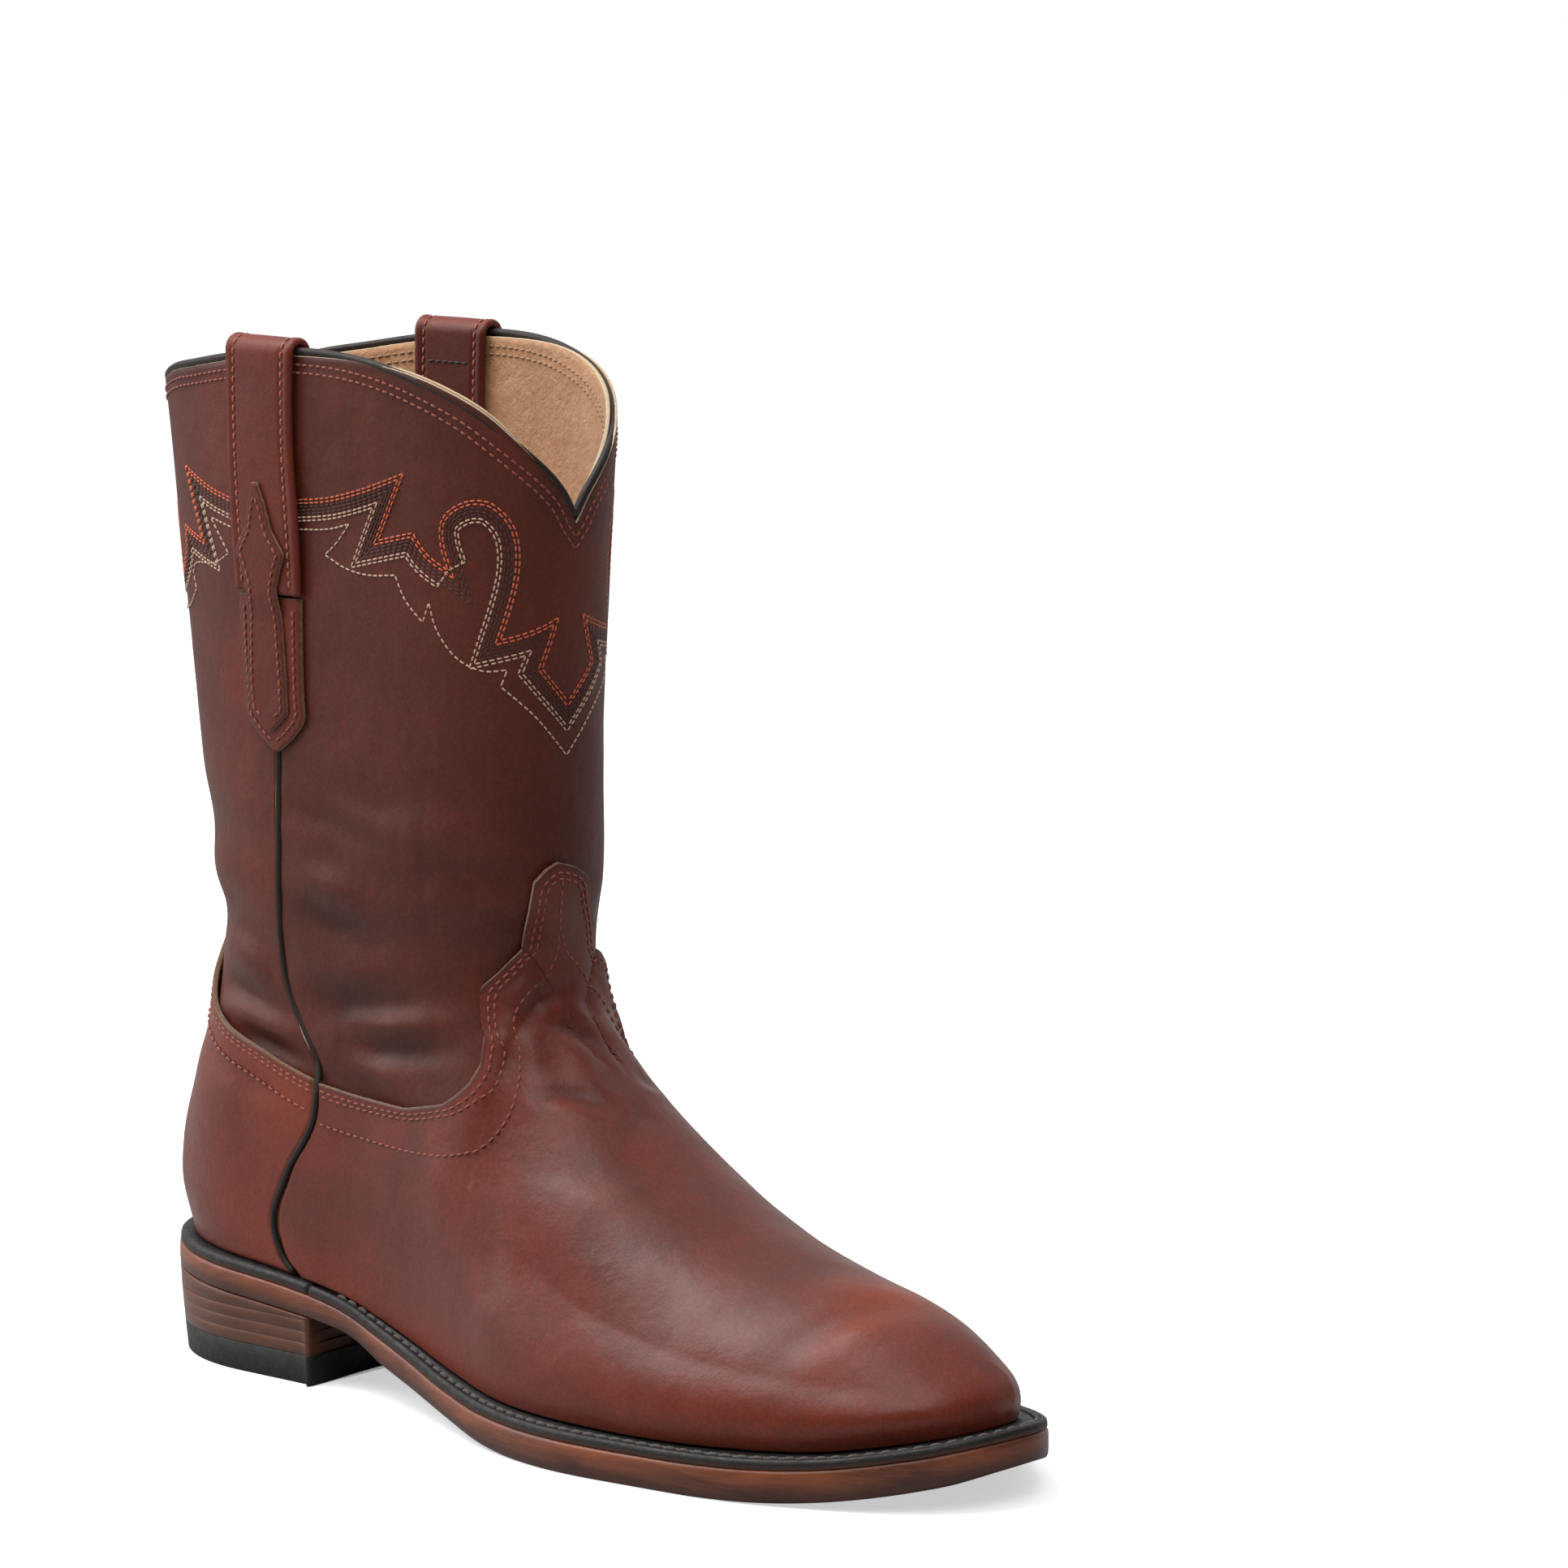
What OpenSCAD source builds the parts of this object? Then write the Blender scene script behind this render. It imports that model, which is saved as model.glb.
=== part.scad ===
// Western pull-on boot for the right foot, as an assembly of its sewn, lasted
// and stacked pieces. Millimetres. The floor is z = 0, +X is the toe, -Y is the
// outer side of the foot and +Z is up. The origin is on the floor, under the
// middle of the heel.

/* [Upper] */
// Thickness of the outer leather
upper_t = 1.5; // [1.0:0.1:1.5]
// Thickness of the lining leather
lining_t = 1.1; // [0.7:0.1:1.1]
// Thickness of the stiffeners at the toe and the heel
stiffener_t = 1.4; // [0.8:0.1:1.4]
// Radius of the bead in the side seams and along the top edge
bead_r = 1.15; // [0.8:0.05:1.2]

/* [Pull straps] */
// Width of a pull strap
strap_w = 26; // [20:1:27]
// Height of a strap's loop above the top edge
strap_loop = 5.3; // [5.2:0.1:12]
// How far the inner leg of a strap reaches down inside the boot
strap_inner = 52; // [40:1:60]

/* [Sole and heel] */
// Height of the rubber heel cap
cap_h = 8.6; // [7.0:0.1:9.5]
// How far the lowest lift stands in from the edge of the heel seat
heel_taper = 2; // [0:0.25:3]
// Thickness of the insole
insole_t = 3; // [2.0:0.1:3.5]
// Thickness of the sock lining on the insole
sock_t = 1.3; // [0.8:0.1:1.6]
// How far the upper turns in under the insole
lasting_margin = 13; // [10:0.5:15]

/* [Fineness] */
// Columns across each panel of the upper
columns = 32; // [28:2:34]
// Rows up each panel of the upper
rows = 16; // [14:1:17]

/* [Hidden] */

LATERAL = -1;
MEDIAL = 1;
LEATHER = [0.42, 0.19, 0.12];
LEATHER_DARK = [0.36, 0.16, 0.10];
LINING = [0.80, 0.66, 0.50];
EDGE_BROWN = [0.50, 0.25, 0.14];
BLACK = [0.09, 0.08, 0.08];
BEAD = [0.17, 0.13, 0.12];
STEEL = [0.55, 0.56, 0.58];
BRASS = [0.75, 0.60, 0.30];
CORK = [0.66, 0.48, 0.30];
THREAD = [0.45, 0.43, 0.40];

// The upper is one surface made of closed rings. A ring is named by h, the
// height of its back point; low rings slope down to the toe. A point on a ring
// is named by u, from 0 at the back to 1 at the front, and by its side.
SEAT = 35;
RING_BACK_X = [[35, -39], [47, -43.5], [59, -41], [74, -34.5], [91, -29], [107, -26.5], [121, -26.3],
  [142, -30], [172, -36.3], [207, -41.5], [241, -46], [277, -51], [292, -53]];
RING_FRONT_X = [[35, 245], [38, 244.5], [41, 241], [46, 232], [55, 207], [66, 171], [78, 143], [90, 120],
  [104, 101.5], [118, 97.5], [142, 101], [172, 101], [207, 102.5], [241, 105], [277, 108], [292, 109]];
RING_FRONT_Z = [[104, 107], [121, 126], [142, 144], [172, 172], [207, 207], [241, 241], [277, 277],
  [292, 292]];
// Height of the instep's ridge along the foot
RIDGE = [[60, 202], [94, 128], [96, 118], [101, 106.5], [114.5, 91.5], [128.5, 79.5], [145.5, 67.5],
  [165, 57.5], [187, 51], [208, 47], [251, 38.5]];
// Height of the feather line, where the upper meets the welt
FEATHER = [[-44, 35.5], [-10, 33], [20, 30.5], [40, 27.5], [60, 22], [90, 15.5], [115, 12.7], [140, 12.2],
  [185, 12.3], [215, 13.8], [240, 18], [258, 22.5]];
// Sideways reach of the upper at the feather line
EDGE_LATERAL = [[-60, -30], [-10, -30.5], [20, -31], [48, -31.5], [70, -34.5], [92, -40.5], [112, -46.5],
  [140, -50], [170, -48], [195, -43.5], [251, -32]];
EDGE_MEDIAL = [[-60, 30], [-10, 30], [20, 29], [45, 27.5], [70, 28], [100, 31], [125, 37], [150, 41.7],
  [172, 42], [195, 39.8], [251, 28]];
RIDGE_Y = [[-60, 3], [60, 1], [95, -3.5], [115, 0], [150, 0.5], [200, 1.5], [251, 4]];
TOE_TIP = [245, 3, 21];
TOE_CURVE_START = 150;
TOE_DROP_START = 200;
HEEL_CURVE_START = 2;
// The leg's half width, its middle and the middle of its front
LEG_HALF = [[35, 36], [110, 36.5], [140, 37], [172, 38], [225, 38.5], [292, 39.2]];
LEG_MIDDLE = [[35, 3], [140, 3.3], [172, 4.4], [292, 5.2]];
LEG_FRONT_Y = [[35, 4], [104, -3], [120, -3.5], [142, -6.5], [292, -6.5]];
LEG_POWER = 2.3;
// How boxy the foot's section is on each side
DOME_LATERAL = 2.2;
DOME_MEDIAL = 1.87;
// How far the tongue leans to the outer side, as a share of the panel
TONGUE_LEAN = 0.055;

// Panel lines. v is 0 at the middle of the front or back and 1 at the side seam.
SIDE_SEAM = [[35, 0.304], [39, 0.294], [45, 0.298], [54, 0.321], [65, 0.36], [79, 0.416], [88, 0.438],
  [95, 0.437], [103, 0.421], [117, 0.402], [136, 0.409], [159, 0.427], [176.5, 0.438], [292, 0.45]];
TOP_FRONT = [[0, 242.8], [0.045, 249.5], [0.1, 254.6], [0.16, 259.2], [0.25, 265.5], [0.36, 272.5],
  [0.49, 278.4], [0.61, 282.3], [0.72, 284.2], [0.84, 284.6], [1, 284]];
TOP_BACK = [[0, 265.5], [0.1, 267.5], [0.4, 273.5], [0.55, 276.5], [0.69, 278.6], [0.79, 280.3],
  [0.92, 282.5], [1, 284]];
VAMP_TOP = [[1, 87.5], [0.886, 86.6], [0.745, 86.5], [0.604, 89.2], [0.475, 93.7], [0.385, 97.5],
  [0.315, 102.6], [0.292, 109.4], [0.292, 113.5], [0.225, 117.7], [0.165, 123], [0.118, 137], [0.1, 145.5],
  [0.05, 149], [0, 150.7]];
COUNTER_TOP = [[0, 127], [0.06, 125.5], [0.12, 121.5], [0.167, 118], [0.26, 112], [0.38, 106],
  [0.5, 100.5], [0.6, 97], [0.715, 94.3], [0.8, 92.5], [0.86, 90.9], [0.93, 89.3], [1, 88]];
FRONT_LAP = [[0, 136], [0.08, 127], [0.16, 111], [0.27, 100], [0.36, 90], [0.48, 83], [0.7, 77.5],
  [1, 78]];
BACK_LAP = [[0, 113], [0.1, 105], [0.3, 95], [0.6, 85], [1, 79]];
LAP_SLOPE_MM = 90;

// The sole's edge, underside and parts
SOLE_LATERAL = [[-60, -34], [-10, -34.5], [28, -34], [48, -35], [70, -39.5], [92, -46.5], [112, -52.5],
  [140, -56.5], [170, -54], [195, -50.5], [216, -45.5], [258, -38]];
SOLE_MEDIAL = [[-60, 34], [-10, 34], [28, 32.5], [48, 31], [70, 31.5], [100, 36], [125, 42], [150, 47.5],
  [172, 49.5], [195, 49.3], [216, 46], [258, 30]];
SOLE_TIP = [256.5, 1];
SOLE_BACK = -43.5;
SOLE_CURVE_START = 165;
UNDERSIDE = [[-44, 25.2], [28, 19.5], [45, 17], [60, 11.5], [90, 5.1], [115, 0.8], [135, 0], [185, 0],
  [215, 1.5], [245, 7], [258, 12]];
BREAST_X = 28.5;
SEAT_TO_SOLE = 3.7;
WELT_T = 3.05;
WELT_IN = 15;
TOUCH = 0.05;
// Gap between pieces whose facets meet at different places
SEAM_ROOM = 0.2;
GAP = 0.4;
// Gap between the foot's pieces and the leg where they lap
LAP_GAP = 0.9;
// More room where the panels bend most, between the leg and the foot
THROAT_ROOM = 0.4;
FOOT_LINING_ROOM = 1.6;
SOLE_STATIONS = 46;

// Strap positions on the leg
STRAP_LINE = [[176, 19.6], [186, 18.6], [204, 17.6], [220, 17.3], [236, 16.4], [251, 15.4], [264, 15],
  [290, 15.3]];
PIPING_TOP = 175.5;
STRAP_TOP = 284;
STRAP_FOOT = 219.6;
STRAP_T = 2.2;
TAIL = [[176.5, 0.8], [180, 6.2], [184, 10.6], [187, 12], [191, 11.7], [203, 12], [218.6, 12.3]];
OVERLAY = [[182, 0.8], [187, 7.3], [195, 7.6], [210, 6.9], [221, 5.8], [226, 7.5], [230.6, 9.6],
  [237, 5.1], [244, 3.2], [249.5, 0.8]];

// ---- curves -------------------------------------------------------------
function slope(keys, j) =
  let (a = max(j - 1, 0), b = min(j + 1, len(keys) - 1))
  (keys[b][1] - keys[a][1]) / (keys[b][0] - keys[a][0]);

// Smooth curve through [x, y] keys, level beyond both ends
function smooth(keys, x) =
  let (
    last = len(keys) - 1,
    c = min(max(x, keys[0][0]), keys[last][0]),
    i = min(last - 1, max([for (j = [0:last]) if (keys[j][0] <= c) j])),
    span = keys[i + 1][0] - keys[i][0],
    t = (c - keys[i][0]) / span
  )
  (1 + 2 * t) * pow(1 - t, 2) * keys[i][1] + t * pow(1 - t, 2) * span * slope(keys, i)
  + t * t * (3 - 2 * t) * keys[i + 1][1] + t * t * (t - 1) * span * slope(keys, i + 1);

function mix(a, b, t) = a + (b - a) * t;
function limit(x) = min(max(x, 0), 1);
function ease(a, b, x) = let (t = limit((x - a) / (b - a))) t * t * (3 - 2 * t);
function unit(p) = p / max(norm(p), 0.000001);
function reversed(list) = [for (i = [len(list) - 1:-1:0]) list[i]];

// ---- the surface of the upper -------------------------------------------
function ridge_z(x) =
  let (t = limit((x - TOE_DROP_START) / (TOE_TIP[0] - TOE_DROP_START)))
  TOE_TIP[2] + (smooth(RIDGE, x) - TOE_TIP[2]) * sqrt(max(1 - pow(t, 3.2), 0));

function edge_y(x, side) =
  let (t = limit((x - TOE_CURVE_START) / (TOE_TIP[0] - TOE_CURVE_START)))
  mix(TOE_TIP[1], smooth(side < 0 ? EDGE_LATERAL : EDGE_MEDIAL, x), sqrt(max(1 - pow(t, 3.6), 0)));

function foot_y(x, z, side) =
  let (
    low = smooth(FEATHER, x),
    rise = limit((z - low) / max(ridge_z(x) - low, 0.000001)),
    power = side < 0 ? DOME_LATERAL : DOME_MEDIAL,
    dome = sqrt(max(1 - pow(rise, power), 0)) * (1 + 0.05 * sin(180 * limit(rise / 0.5))),
    back = smooth(RING_BACK_X, z),
    round_heel = x < HEEL_CURVE_START
      ? sqrt(max(1 - pow(limit((HEEL_CURVE_START - x) / (HEEL_CURVE_START - back)), 2.3), 0))
      : 1
  )
  mix(smooth(RIDGE_Y, x), edge_y(x, side), dome) * round_heel;

function leg_y(s, h, side) =
  let (middle = smooth(LEG_MIDDLE, h))
  middle + (smooth(LEG_FRONT_Y, h) - middle) * pow(limit(2 * s - 1), 2)
  + side * smooth(LEG_HALF, h) * pow(max(1 - pow(abs(2 * s - 1), LEG_POWER), 0), 1 / LEG_POWER);

function ring_point(h, u, side) =
  let (
    s = (1 - cos(180 * u)) / 2,
    front_x = smooth(RING_FRONT_X, h),
    back_x = smooth(RING_BACK_X, h),
    x = mix(back_x, front_x, s),
    front_z = mix(ridge_z(front_x), smooth(RING_FRONT_Z, h), ease(94, 112, h)),
    flat = pow(limit(1 - (h - SEAT) / 8), 1.5),
    z = mix(mix(h, front_z, s), smooth(FEATHER, x) + (h - SEAT) * 0.6, flat),
    up = ease(70, 142, h),
    y_foot = up < 1 ? foot_y(x, z, side) : 0,
    y_leg = up > 0 ? leg_y(s, h, side) : 0
  )
  [x, mix(y_foot, y_leg, up), z];

// Direction in plan from an edge point to the foot's long middle
function inward(p) = unit([min(max(p[0], -8), 200) - p[0], 4 - p[1], 0]);

// Rings below the seat turn in under the insole
function upper_point(h, u, side) =
  h >= SEAT ? ring_point(h, u, side)
  : let (p = ring_point(SEAT, u, side), q = p + inward(p) * (SEAT - h)) [q[0], q[1], smooth(FEATHER, q[0])];

function seam_u(h) = smooth(SIDE_SEAM, max(h, SEAT));
// v runs from -1 at the outer side seam to 1 at the inner one
function front_point(v, h) = upper_point(h, 1 - abs(v) * (1 - seam_u(h)), v < 0 ? LATERAL : MEDIAL);
function back_point(v, h) = upper_point(h, abs(v) * seam_u(h), v < 0 ? LATERAL : MEDIAL);

// ---- layers, as distances out from the surface --------------------------
LEATHER_ROOM = 1.5;
STIFFENER_ROOM = 1.4;
LINING_ROOM = 1.1;
LEG_LINING = -LEATHER_ROOM - GAP - 0.1;
function vamp_out(h) =
  0.3 + (LAP_GAP - 0.3 + LEATHER_ROOM) * ease(42, 74, h) + THROAT_ROOM * ease(100, 115, h);
function vamp_in(h) = vamp_out(h) - upper_t;
function stiff_out(h) = vamp_out(h) - LEATHER_ROOM - GAP;
function lining_out(h) =
  mix(vamp_out(h) - LEATHER_ROOM - STIFFENER_ROOM - 3.4 * GAP, LEG_LINING, ease(58, 76, h));
function foot_lining_out(h) = lining_out(h) - FOOT_LINING_ROOM * ease(88, 106, h);

// ---- solids -------------------------------------------------------------
function volume6(points, faces) =
  let (parts = [for (f = faces) for (k = [1:len(f) - 2])
    points[f[0]] * cross(points[f[k]], points[f[k + 1]])])
  parts * [for (p = parts) 1];

// A polyhedron whose faces all turn the right way
module solid(points, faces) {
  wrong = volume6(points, faces) > 0;
  polyhedron(points, wrong ? [for (f = faces) reversed(f)] : faces);
}

function across(grid, r, c) =
  grid[r][min(c + 1, len(grid[0]) - 1)] - grid[r][max(c - 1, 0)];
function upward(grid, r, c) =
  grid[min(r + 1, len(grid) - 1)][c] - grid[max(r - 1, 0)][c];
function shifted(grid, far) =
  [for (r = [0:len(grid) - 1]) for (c = [0:len(grid[0]) - 1])
    grid[r][c] + unit(cross(across(grid, r, c), upward(grid, r, c))) * far[r][c]];

// A sheet of leather between two distances from a grid of points
module sheet(grid, outer, inner) {
  n = len(grid[0]);
  m = len(grid);
  k = n * m;
  points = concat(shifted(grid, outer), shifted(grid, inner));
  skin = [for (r = [0:m - 2]) for (c = [0:n - 2]) let (a = r * n + c)
    each [[a, a + 1, a + n + 1], [a, a + n + 1, a + n]]];
  back = [for (f = skin) [f[2] + k, f[1] + k, f[0] + k]];
  ends = [for (c = [0:n - 2]) let (t = (m - 1) * n + c)
    each [[c + 1, c, c + k], [c + 1, c + k, c + 1 + k], [t, t + 1, t + 1 + k], [t, t + 1 + k, t + k]]];
  sides = [for (r = [0:m - 2]) let (a = r * n, b = a + n - 1)
    each [[a, a + n, a + n + k], [a, a + n + k, a + k], [b + n, b, b + k], [b + n, b + k, b + n + k]]];
  solid(points, concat(skin, back, ends, sides));
}

// A bar through a row of sections with the same number of corners
module loft(sections) {
  n = len(sections[0]);
  m = len(sections);
  points = [for (s = sections) each s];
  skin = [for (r = [0:m - 2]) for (c = [0:n - 1]) let (a = r * n + c, b = r * n + (c + 1) % n)
    each [[a, b, b + n], [a, b + n, a + n]]];
  start = [for (c = [1:n - 2]) [0, c + 1, c]];
  end = [for (c = [1:n - 2]) let (e = (m - 1) * n) [e, e + c, e + c + 1]];
  solid(points, concat(skin, start, end));
}

// A plate between two edges, each edge a list of [x, y], with its own heights
module plate(left, right, low, high) {
  n = len(left);
  points = concat(
    [for (p = left) [p[0], p[1], level_z(low, p[0])]], [for (p = right) [p[0], p[1], level_z(low, p[0])]],
    [for (p = left) [p[0], p[1], level_z(high, p[0])]], [for (p = right) [p[0], p[1], level_z(high, p[0])]]);
  faces = [for (i = [0:n - 2]) each [
    [i, i + 1, n + i + 1], [i, n + i + 1, n + i],
    [2 * n + i + 1, 2 * n + i, 3 * n + i], [2 * n + i + 1, 3 * n + i, 3 * n + i + 1],
    [i + 1, i, 2 * n + i], [i + 1, 2 * n + i, 2 * n + i + 1],
    [n + i, n + i + 1, 3 * n + i + 1], [n + i, 3 * n + i + 1, 3 * n + i]]];
  caps = [[0, n, 3 * n], [0, 3 * n, 2 * n], [2 * n - 1, n - 1, 3 * n - 1], [2 * n - 1, 3 * n - 1, 4 * n - 1]];
  solid(points, concat(faces, caps));
}

// Height of a level at x: [kind, offset], where kind is "feather", "under" or "flat"
function level_z(level, x) =
  level[0] == "feather" ? smooth(FEATHER, x) + level[1]
  : level[0] == "under" ? under_z(x) + level[1]
  : level[1];

function under_z(x) = max(smooth(UNDERSIDE, x), 0);

// ---- outlines in plan ---------------------------------------------------
function sole_y(x, side) =
  let (
    t = limit((x - SOLE_CURVE_START) / (SOLE_TIP[0] - SOLE_CURVE_START)),
    b = limit((HEEL_CURVE_START - x) / (HEEL_CURVE_START - SOLE_BACK)),
    edge = smooth(side < 0 ? SOLE_LATERAL : SOLE_MEDIAL, x),
    y = mix(SOLE_TIP[1], edge, sqrt(max(1 - pow(t, side < 0 ? 3.4 : 3.1), 0)))
  )
  y * sqrt(max(1 - pow(b, 2.3), 0));

function seat_y(x, side) =
  let (b = limit((HEEL_CURVE_START - x) / (HEEL_CURVE_START - RING_BACK_X[0][1])))
  edge_y(x, side) * sqrt(max(1 - pow(b, 2.3), 0));

// Stations crowd together at both rounded ends
function stations(a, b, n) = [for (i = [0:n]) mix(a, b, (1 - cos(180 * i / n)) / 2)];

// An edge list moved in by a distance, as [x, y]
function sole_edge(xs, side, inset) =
  [for (x = xs) let (p = [x, sole_y(x, side), 0], q = p + inward(p) * inset) [q[0], q[1]]];
// The lining wraps further in at the toe, so the insole's edge does too
TOE_INSET = 5;
function seat_edge(xs, side, inset) =
  [for (x = xs)
    let (p = [x, seat_y(x, side), 0], q = p + inward(p) * (inset + TOE_INSET * ease(190, TOE_TIP[0], x)))
    [q[0], q[1]]];

// ---- heel ---------------------------------------------------------------
function heel_outline(inset) =
  let (xs = [for (i = [0:14]) mix(SOLE_BACK + 0.15, BREAST_X, 1 - cos(90 * i / 14))])
  concat(
    sole_edge(xs, LATERAL, inset),
    [[BREAST_X - 1.5, 0]],
    reversed(sole_edge(xs, MEDIAL, inset)));

module heel_layer(z0, z1, inset) {
  translate([0, 0, z0])
    linear_extrude(z1 - z0)
      polygon(heel_outline(inset));
}

function lift_z(i) = mix(cap_h, 18.6, i / 3);

module heel_cap() color(BLACK) {
  heel_layer(0, cap_h, heel_taper);
}

module heel_lift(i) color(EDGE_BROWN) {
  heel_layer(lift_z(i - 1) + TOUCH, lift_z(i), heel_taper * (1 - i / 4));
}

module heel_wedge() color(EDGE_BROWN) {
  xs = [for (i = [0:16]) mix(SOLE_BACK + 0.15, BREAST_X, 1 - cos(90 * i / 16))];
  plate(sole_edge(xs, LATERAL, 0.3), sole_edge(xs, MEDIAL, 0.3),
    ["flat", lift_z(3) + TOUCH], ["under", -TOUCH]);
}

CAP_NAILS = [[-33, -14], [-33, 14], [-16, -24], [-16, 24], [4, -25], [4, 25], [20, -14], [20, 14]];
module cap_nails() color(STEEL) {
  for (p = CAP_NAILS)
    translate([p[0], p[1], 1.5])
      cylinder(h = 13, r = 0.9, $fn = 16);
}

HEEL_NAILS = [[-17, -6], [-17, 12], [-4, -11], [-4, 14], [10, -11], [10, 14]];
module heel_nails() color(BRASS) {
  for (p = HEEL_NAILS)
    translate([p[0], p[1], 16])
      cylinder(h = smooth(FEATHER, p[0]) + 3 - 16, r = 1.0, $fn = 16);
}

// ---- sole ---------------------------------------------------------------
module outsole() color(EDGE_BROWN) {
  xs = stations(SOLE_BACK + 0.1, SOLE_TIP[0] - 0.05, SOLE_STATIONS);
  plate(sole_edge(xs, LATERAL, 0), sole_edge(xs, MEDIAL, 0), ["under", 0], ["feather", -SEAT_TO_SOLE]);
}

// The sole's edge from the breast on one side, round the toe, to the other
function toe_run(n) =
  let (half = [for (i = [0:n]) mix(BREAST_X + 1.5, SOLE_TIP[0] - 0.02, sin(90 * i / n))])
  concat([for (x = half) [x, sole_y(x, LATERAL), 0]],
    [for (i = [n - 1:-1:0]) [half[i], sole_y(half[i], MEDIAL), 0]]);
function heel_run(n) =
  let (half = [for (i = [0:n]) mix(BREAST_X, SOLE_BACK + 0.05, sin(90 * i / n))])
  concat([for (x = half) [x, sole_y(x, MEDIAL), 0]],
    [for (i = [n - 1:-1:0]) [half[i], sole_y(half[i], LATERAL), 0]]);

// A flat strip of leather that lies on the sole along its edge
function strip_sections(run, edge_in, width, low, high) =
  [for (p = run)
    let (a = p + inward(p) * edge_in, b = p + inward(p) * (edge_in + width))
    [
      [a[0], a[1], smooth(FEATHER, a[0]) + low],
      [b[0], b[1], smooth(FEATHER, b[0]) + low],
      [b[0], b[1], smooth(FEATHER, b[0]) + high],
      [a[0], a[1], smooth(FEATHER, a[0]) + high - 0.5]
    ]];

module welt() color(BLACK) {
  loft(strip_sections(toe_run(30), 0.4, WELT_IN, -SEAT_TO_SOLE + SEAM_ROOM, -SEAT_TO_SOLE + WELT_T));
}

module heel_rand() color(BLACK) {
  loft(strip_sections(heel_run(14), 0.4, WELT_IN - 2, -SEAT_TO_SOLE + SEAM_ROOM, -SEAT_TO_SOLE + WELT_T));
}

// The outseam's thread rises and dips along the welt, one wave to a stitch.
// It runs closer to the edge where the shelf of the welt is narrow.
STITCH_START = 2;
STITCH_INSET = 2.9;
STITCH_HALF_WIDTH = 0.45;
STITCH_HEIGHT = 0.5;
module welt_stitch() color(THREAD) {
  run = toe_run(54);
  loft([for (i = [STITCH_START:len(run) - 1 - STITCH_START])
    let (
      p = run[i],
      shelf = abs(p[1]) - 1.05 * abs(edge_y(p[0], p[1])),
      inset = p[0] > TOE_DROP_START ? STITCH_INSET : min(STITCH_INSET, shelf / 2),
      q = p + inward(p) * inset,
      side = inward(p) * STITCH_HALF_WIDTH,
      low = [q[0], q[1], smooth(FEATHER, q[0]) - SEAT_TO_SOLE + WELT_T + 0.12 * (1 + i % 2)],
      high = low + [0, 0, STITCH_HEIGHT]
    )
    [low - side, low + side, high + side * 0.6, high - side * 0.6]]);
}

module cork_filler() color(CORK) {
  xs = stations(60, 236, 22);
  plate(sole_edge(xs, LATERAL, WELT_IN + 1.2), sole_edge(xs, MEDIAL, WELT_IN + 1.2),
    ["feather", -SEAT_TO_SOLE + SEAM_ROOM], ["feather", -0.75]);
}

module shank_cover() color(EDGE_BROWN) {
  xs = [for (i = [0:10]) mix(-26, 59, i / 10)];
  plate(sole_edge(xs, LATERAL, WELT_IN + 1.2), sole_edge(xs, MEDIAL, WELT_IN + 1.2),
    ["feather", -SEAT_TO_SOLE + SEAM_ROOM], ["feather", -2.45]);
}

module shank() color(STEEL) {
  xs = [for (i = [0:14]) mix(-8, 57, i / 14)];
  plate([for (x = xs) [x, -6.5]], [for (x = xs) [x, 8.5]], ["feather", -2.35], ["feather", -1.15]);
}

module insole() color([0.76, 0.62, 0.46]) {
  xs = stations(RING_BACK_X[0][1] + 1, TOE_TIP[0] - 1, 34);
  plate(seat_edge(xs, LATERAL, 5.6), seat_edge(xs, MEDIAL, 5.6),
    ["feather", 1.5], ["feather", 1.5 + insole_t]);
}

module sock_lining() color(LINING) {
  xs = stations(RING_BACK_X[0][1] + 1.5, TOE_TIP[0] - 1.5, 34);
  plate(seat_edge(xs, LATERAL, 6), seat_edge(xs, MEDIAL, 6),
    ["feather", 1.6 + insole_t], ["feather", 1.6 + insole_t + sock_t]);
}

// ---- panels of the upper ------------------------------------------------
function levels(grid_h, kind) =
  [for (row = grid_h) [for (h = row)
    kind == "vamp_out" ? vamp_out(h)
    : kind == "vamp_in" ? vamp_in(h)
    : kind == "stiff_out" ? stiff_out(h)
    : kind == "stiff_in" ? stiff_out(h) - stiffener_t
    : kind == "pared_out" ? stiff_out(h) - TOE_GAP
    : kind == "pared_in" ? stiff_out(h) - stiffener_t + 0.22
    : kind == "leg_out" ? 0
    : kind == "leg_in" ? -upper_t
    : kind == "lining_out" ? lining_out(h)
    : kind == "foot_lining_out" ? foot_lining_out(h)
    : kind == "foot_lining_in" ? foot_lining_out(h) - lining_t
    : lining_out(h) - lining_t]];

// A panel between two lists of [v, h]: its bottom edge and its top edge.
// A spread over 1 sets its rows closer at the bottom, under 1 at the top.
module panel(bottom, top, n, front, outer, inner, spread = 1) {
  vh = [for (r = [0:n]) [for (c = [0:len(bottom) - 1]) mix(bottom[c], top[c], pow(r / n, spread))]];
  grid = [for (row = vh) [for (p = row) front ? front_point(p[0], p[1]) : back_point(p[0], p[1])]];
  hs = [for (row = vh) [for (p = row) p[1]]];
  sheet(grid, levels(hs, outer), levels(hs, inner));
}

// Panels stop short of the side seam, where the piping's flange passes
SEAM_V = 0.982;
function front_v(n) = [for (i = [0:n]) SEAM_V * (2 * i / n - 1)];
function back_v(n) = [for (i = [0:n]) SEAM_V * (1 - 2 * i / n)];

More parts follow.
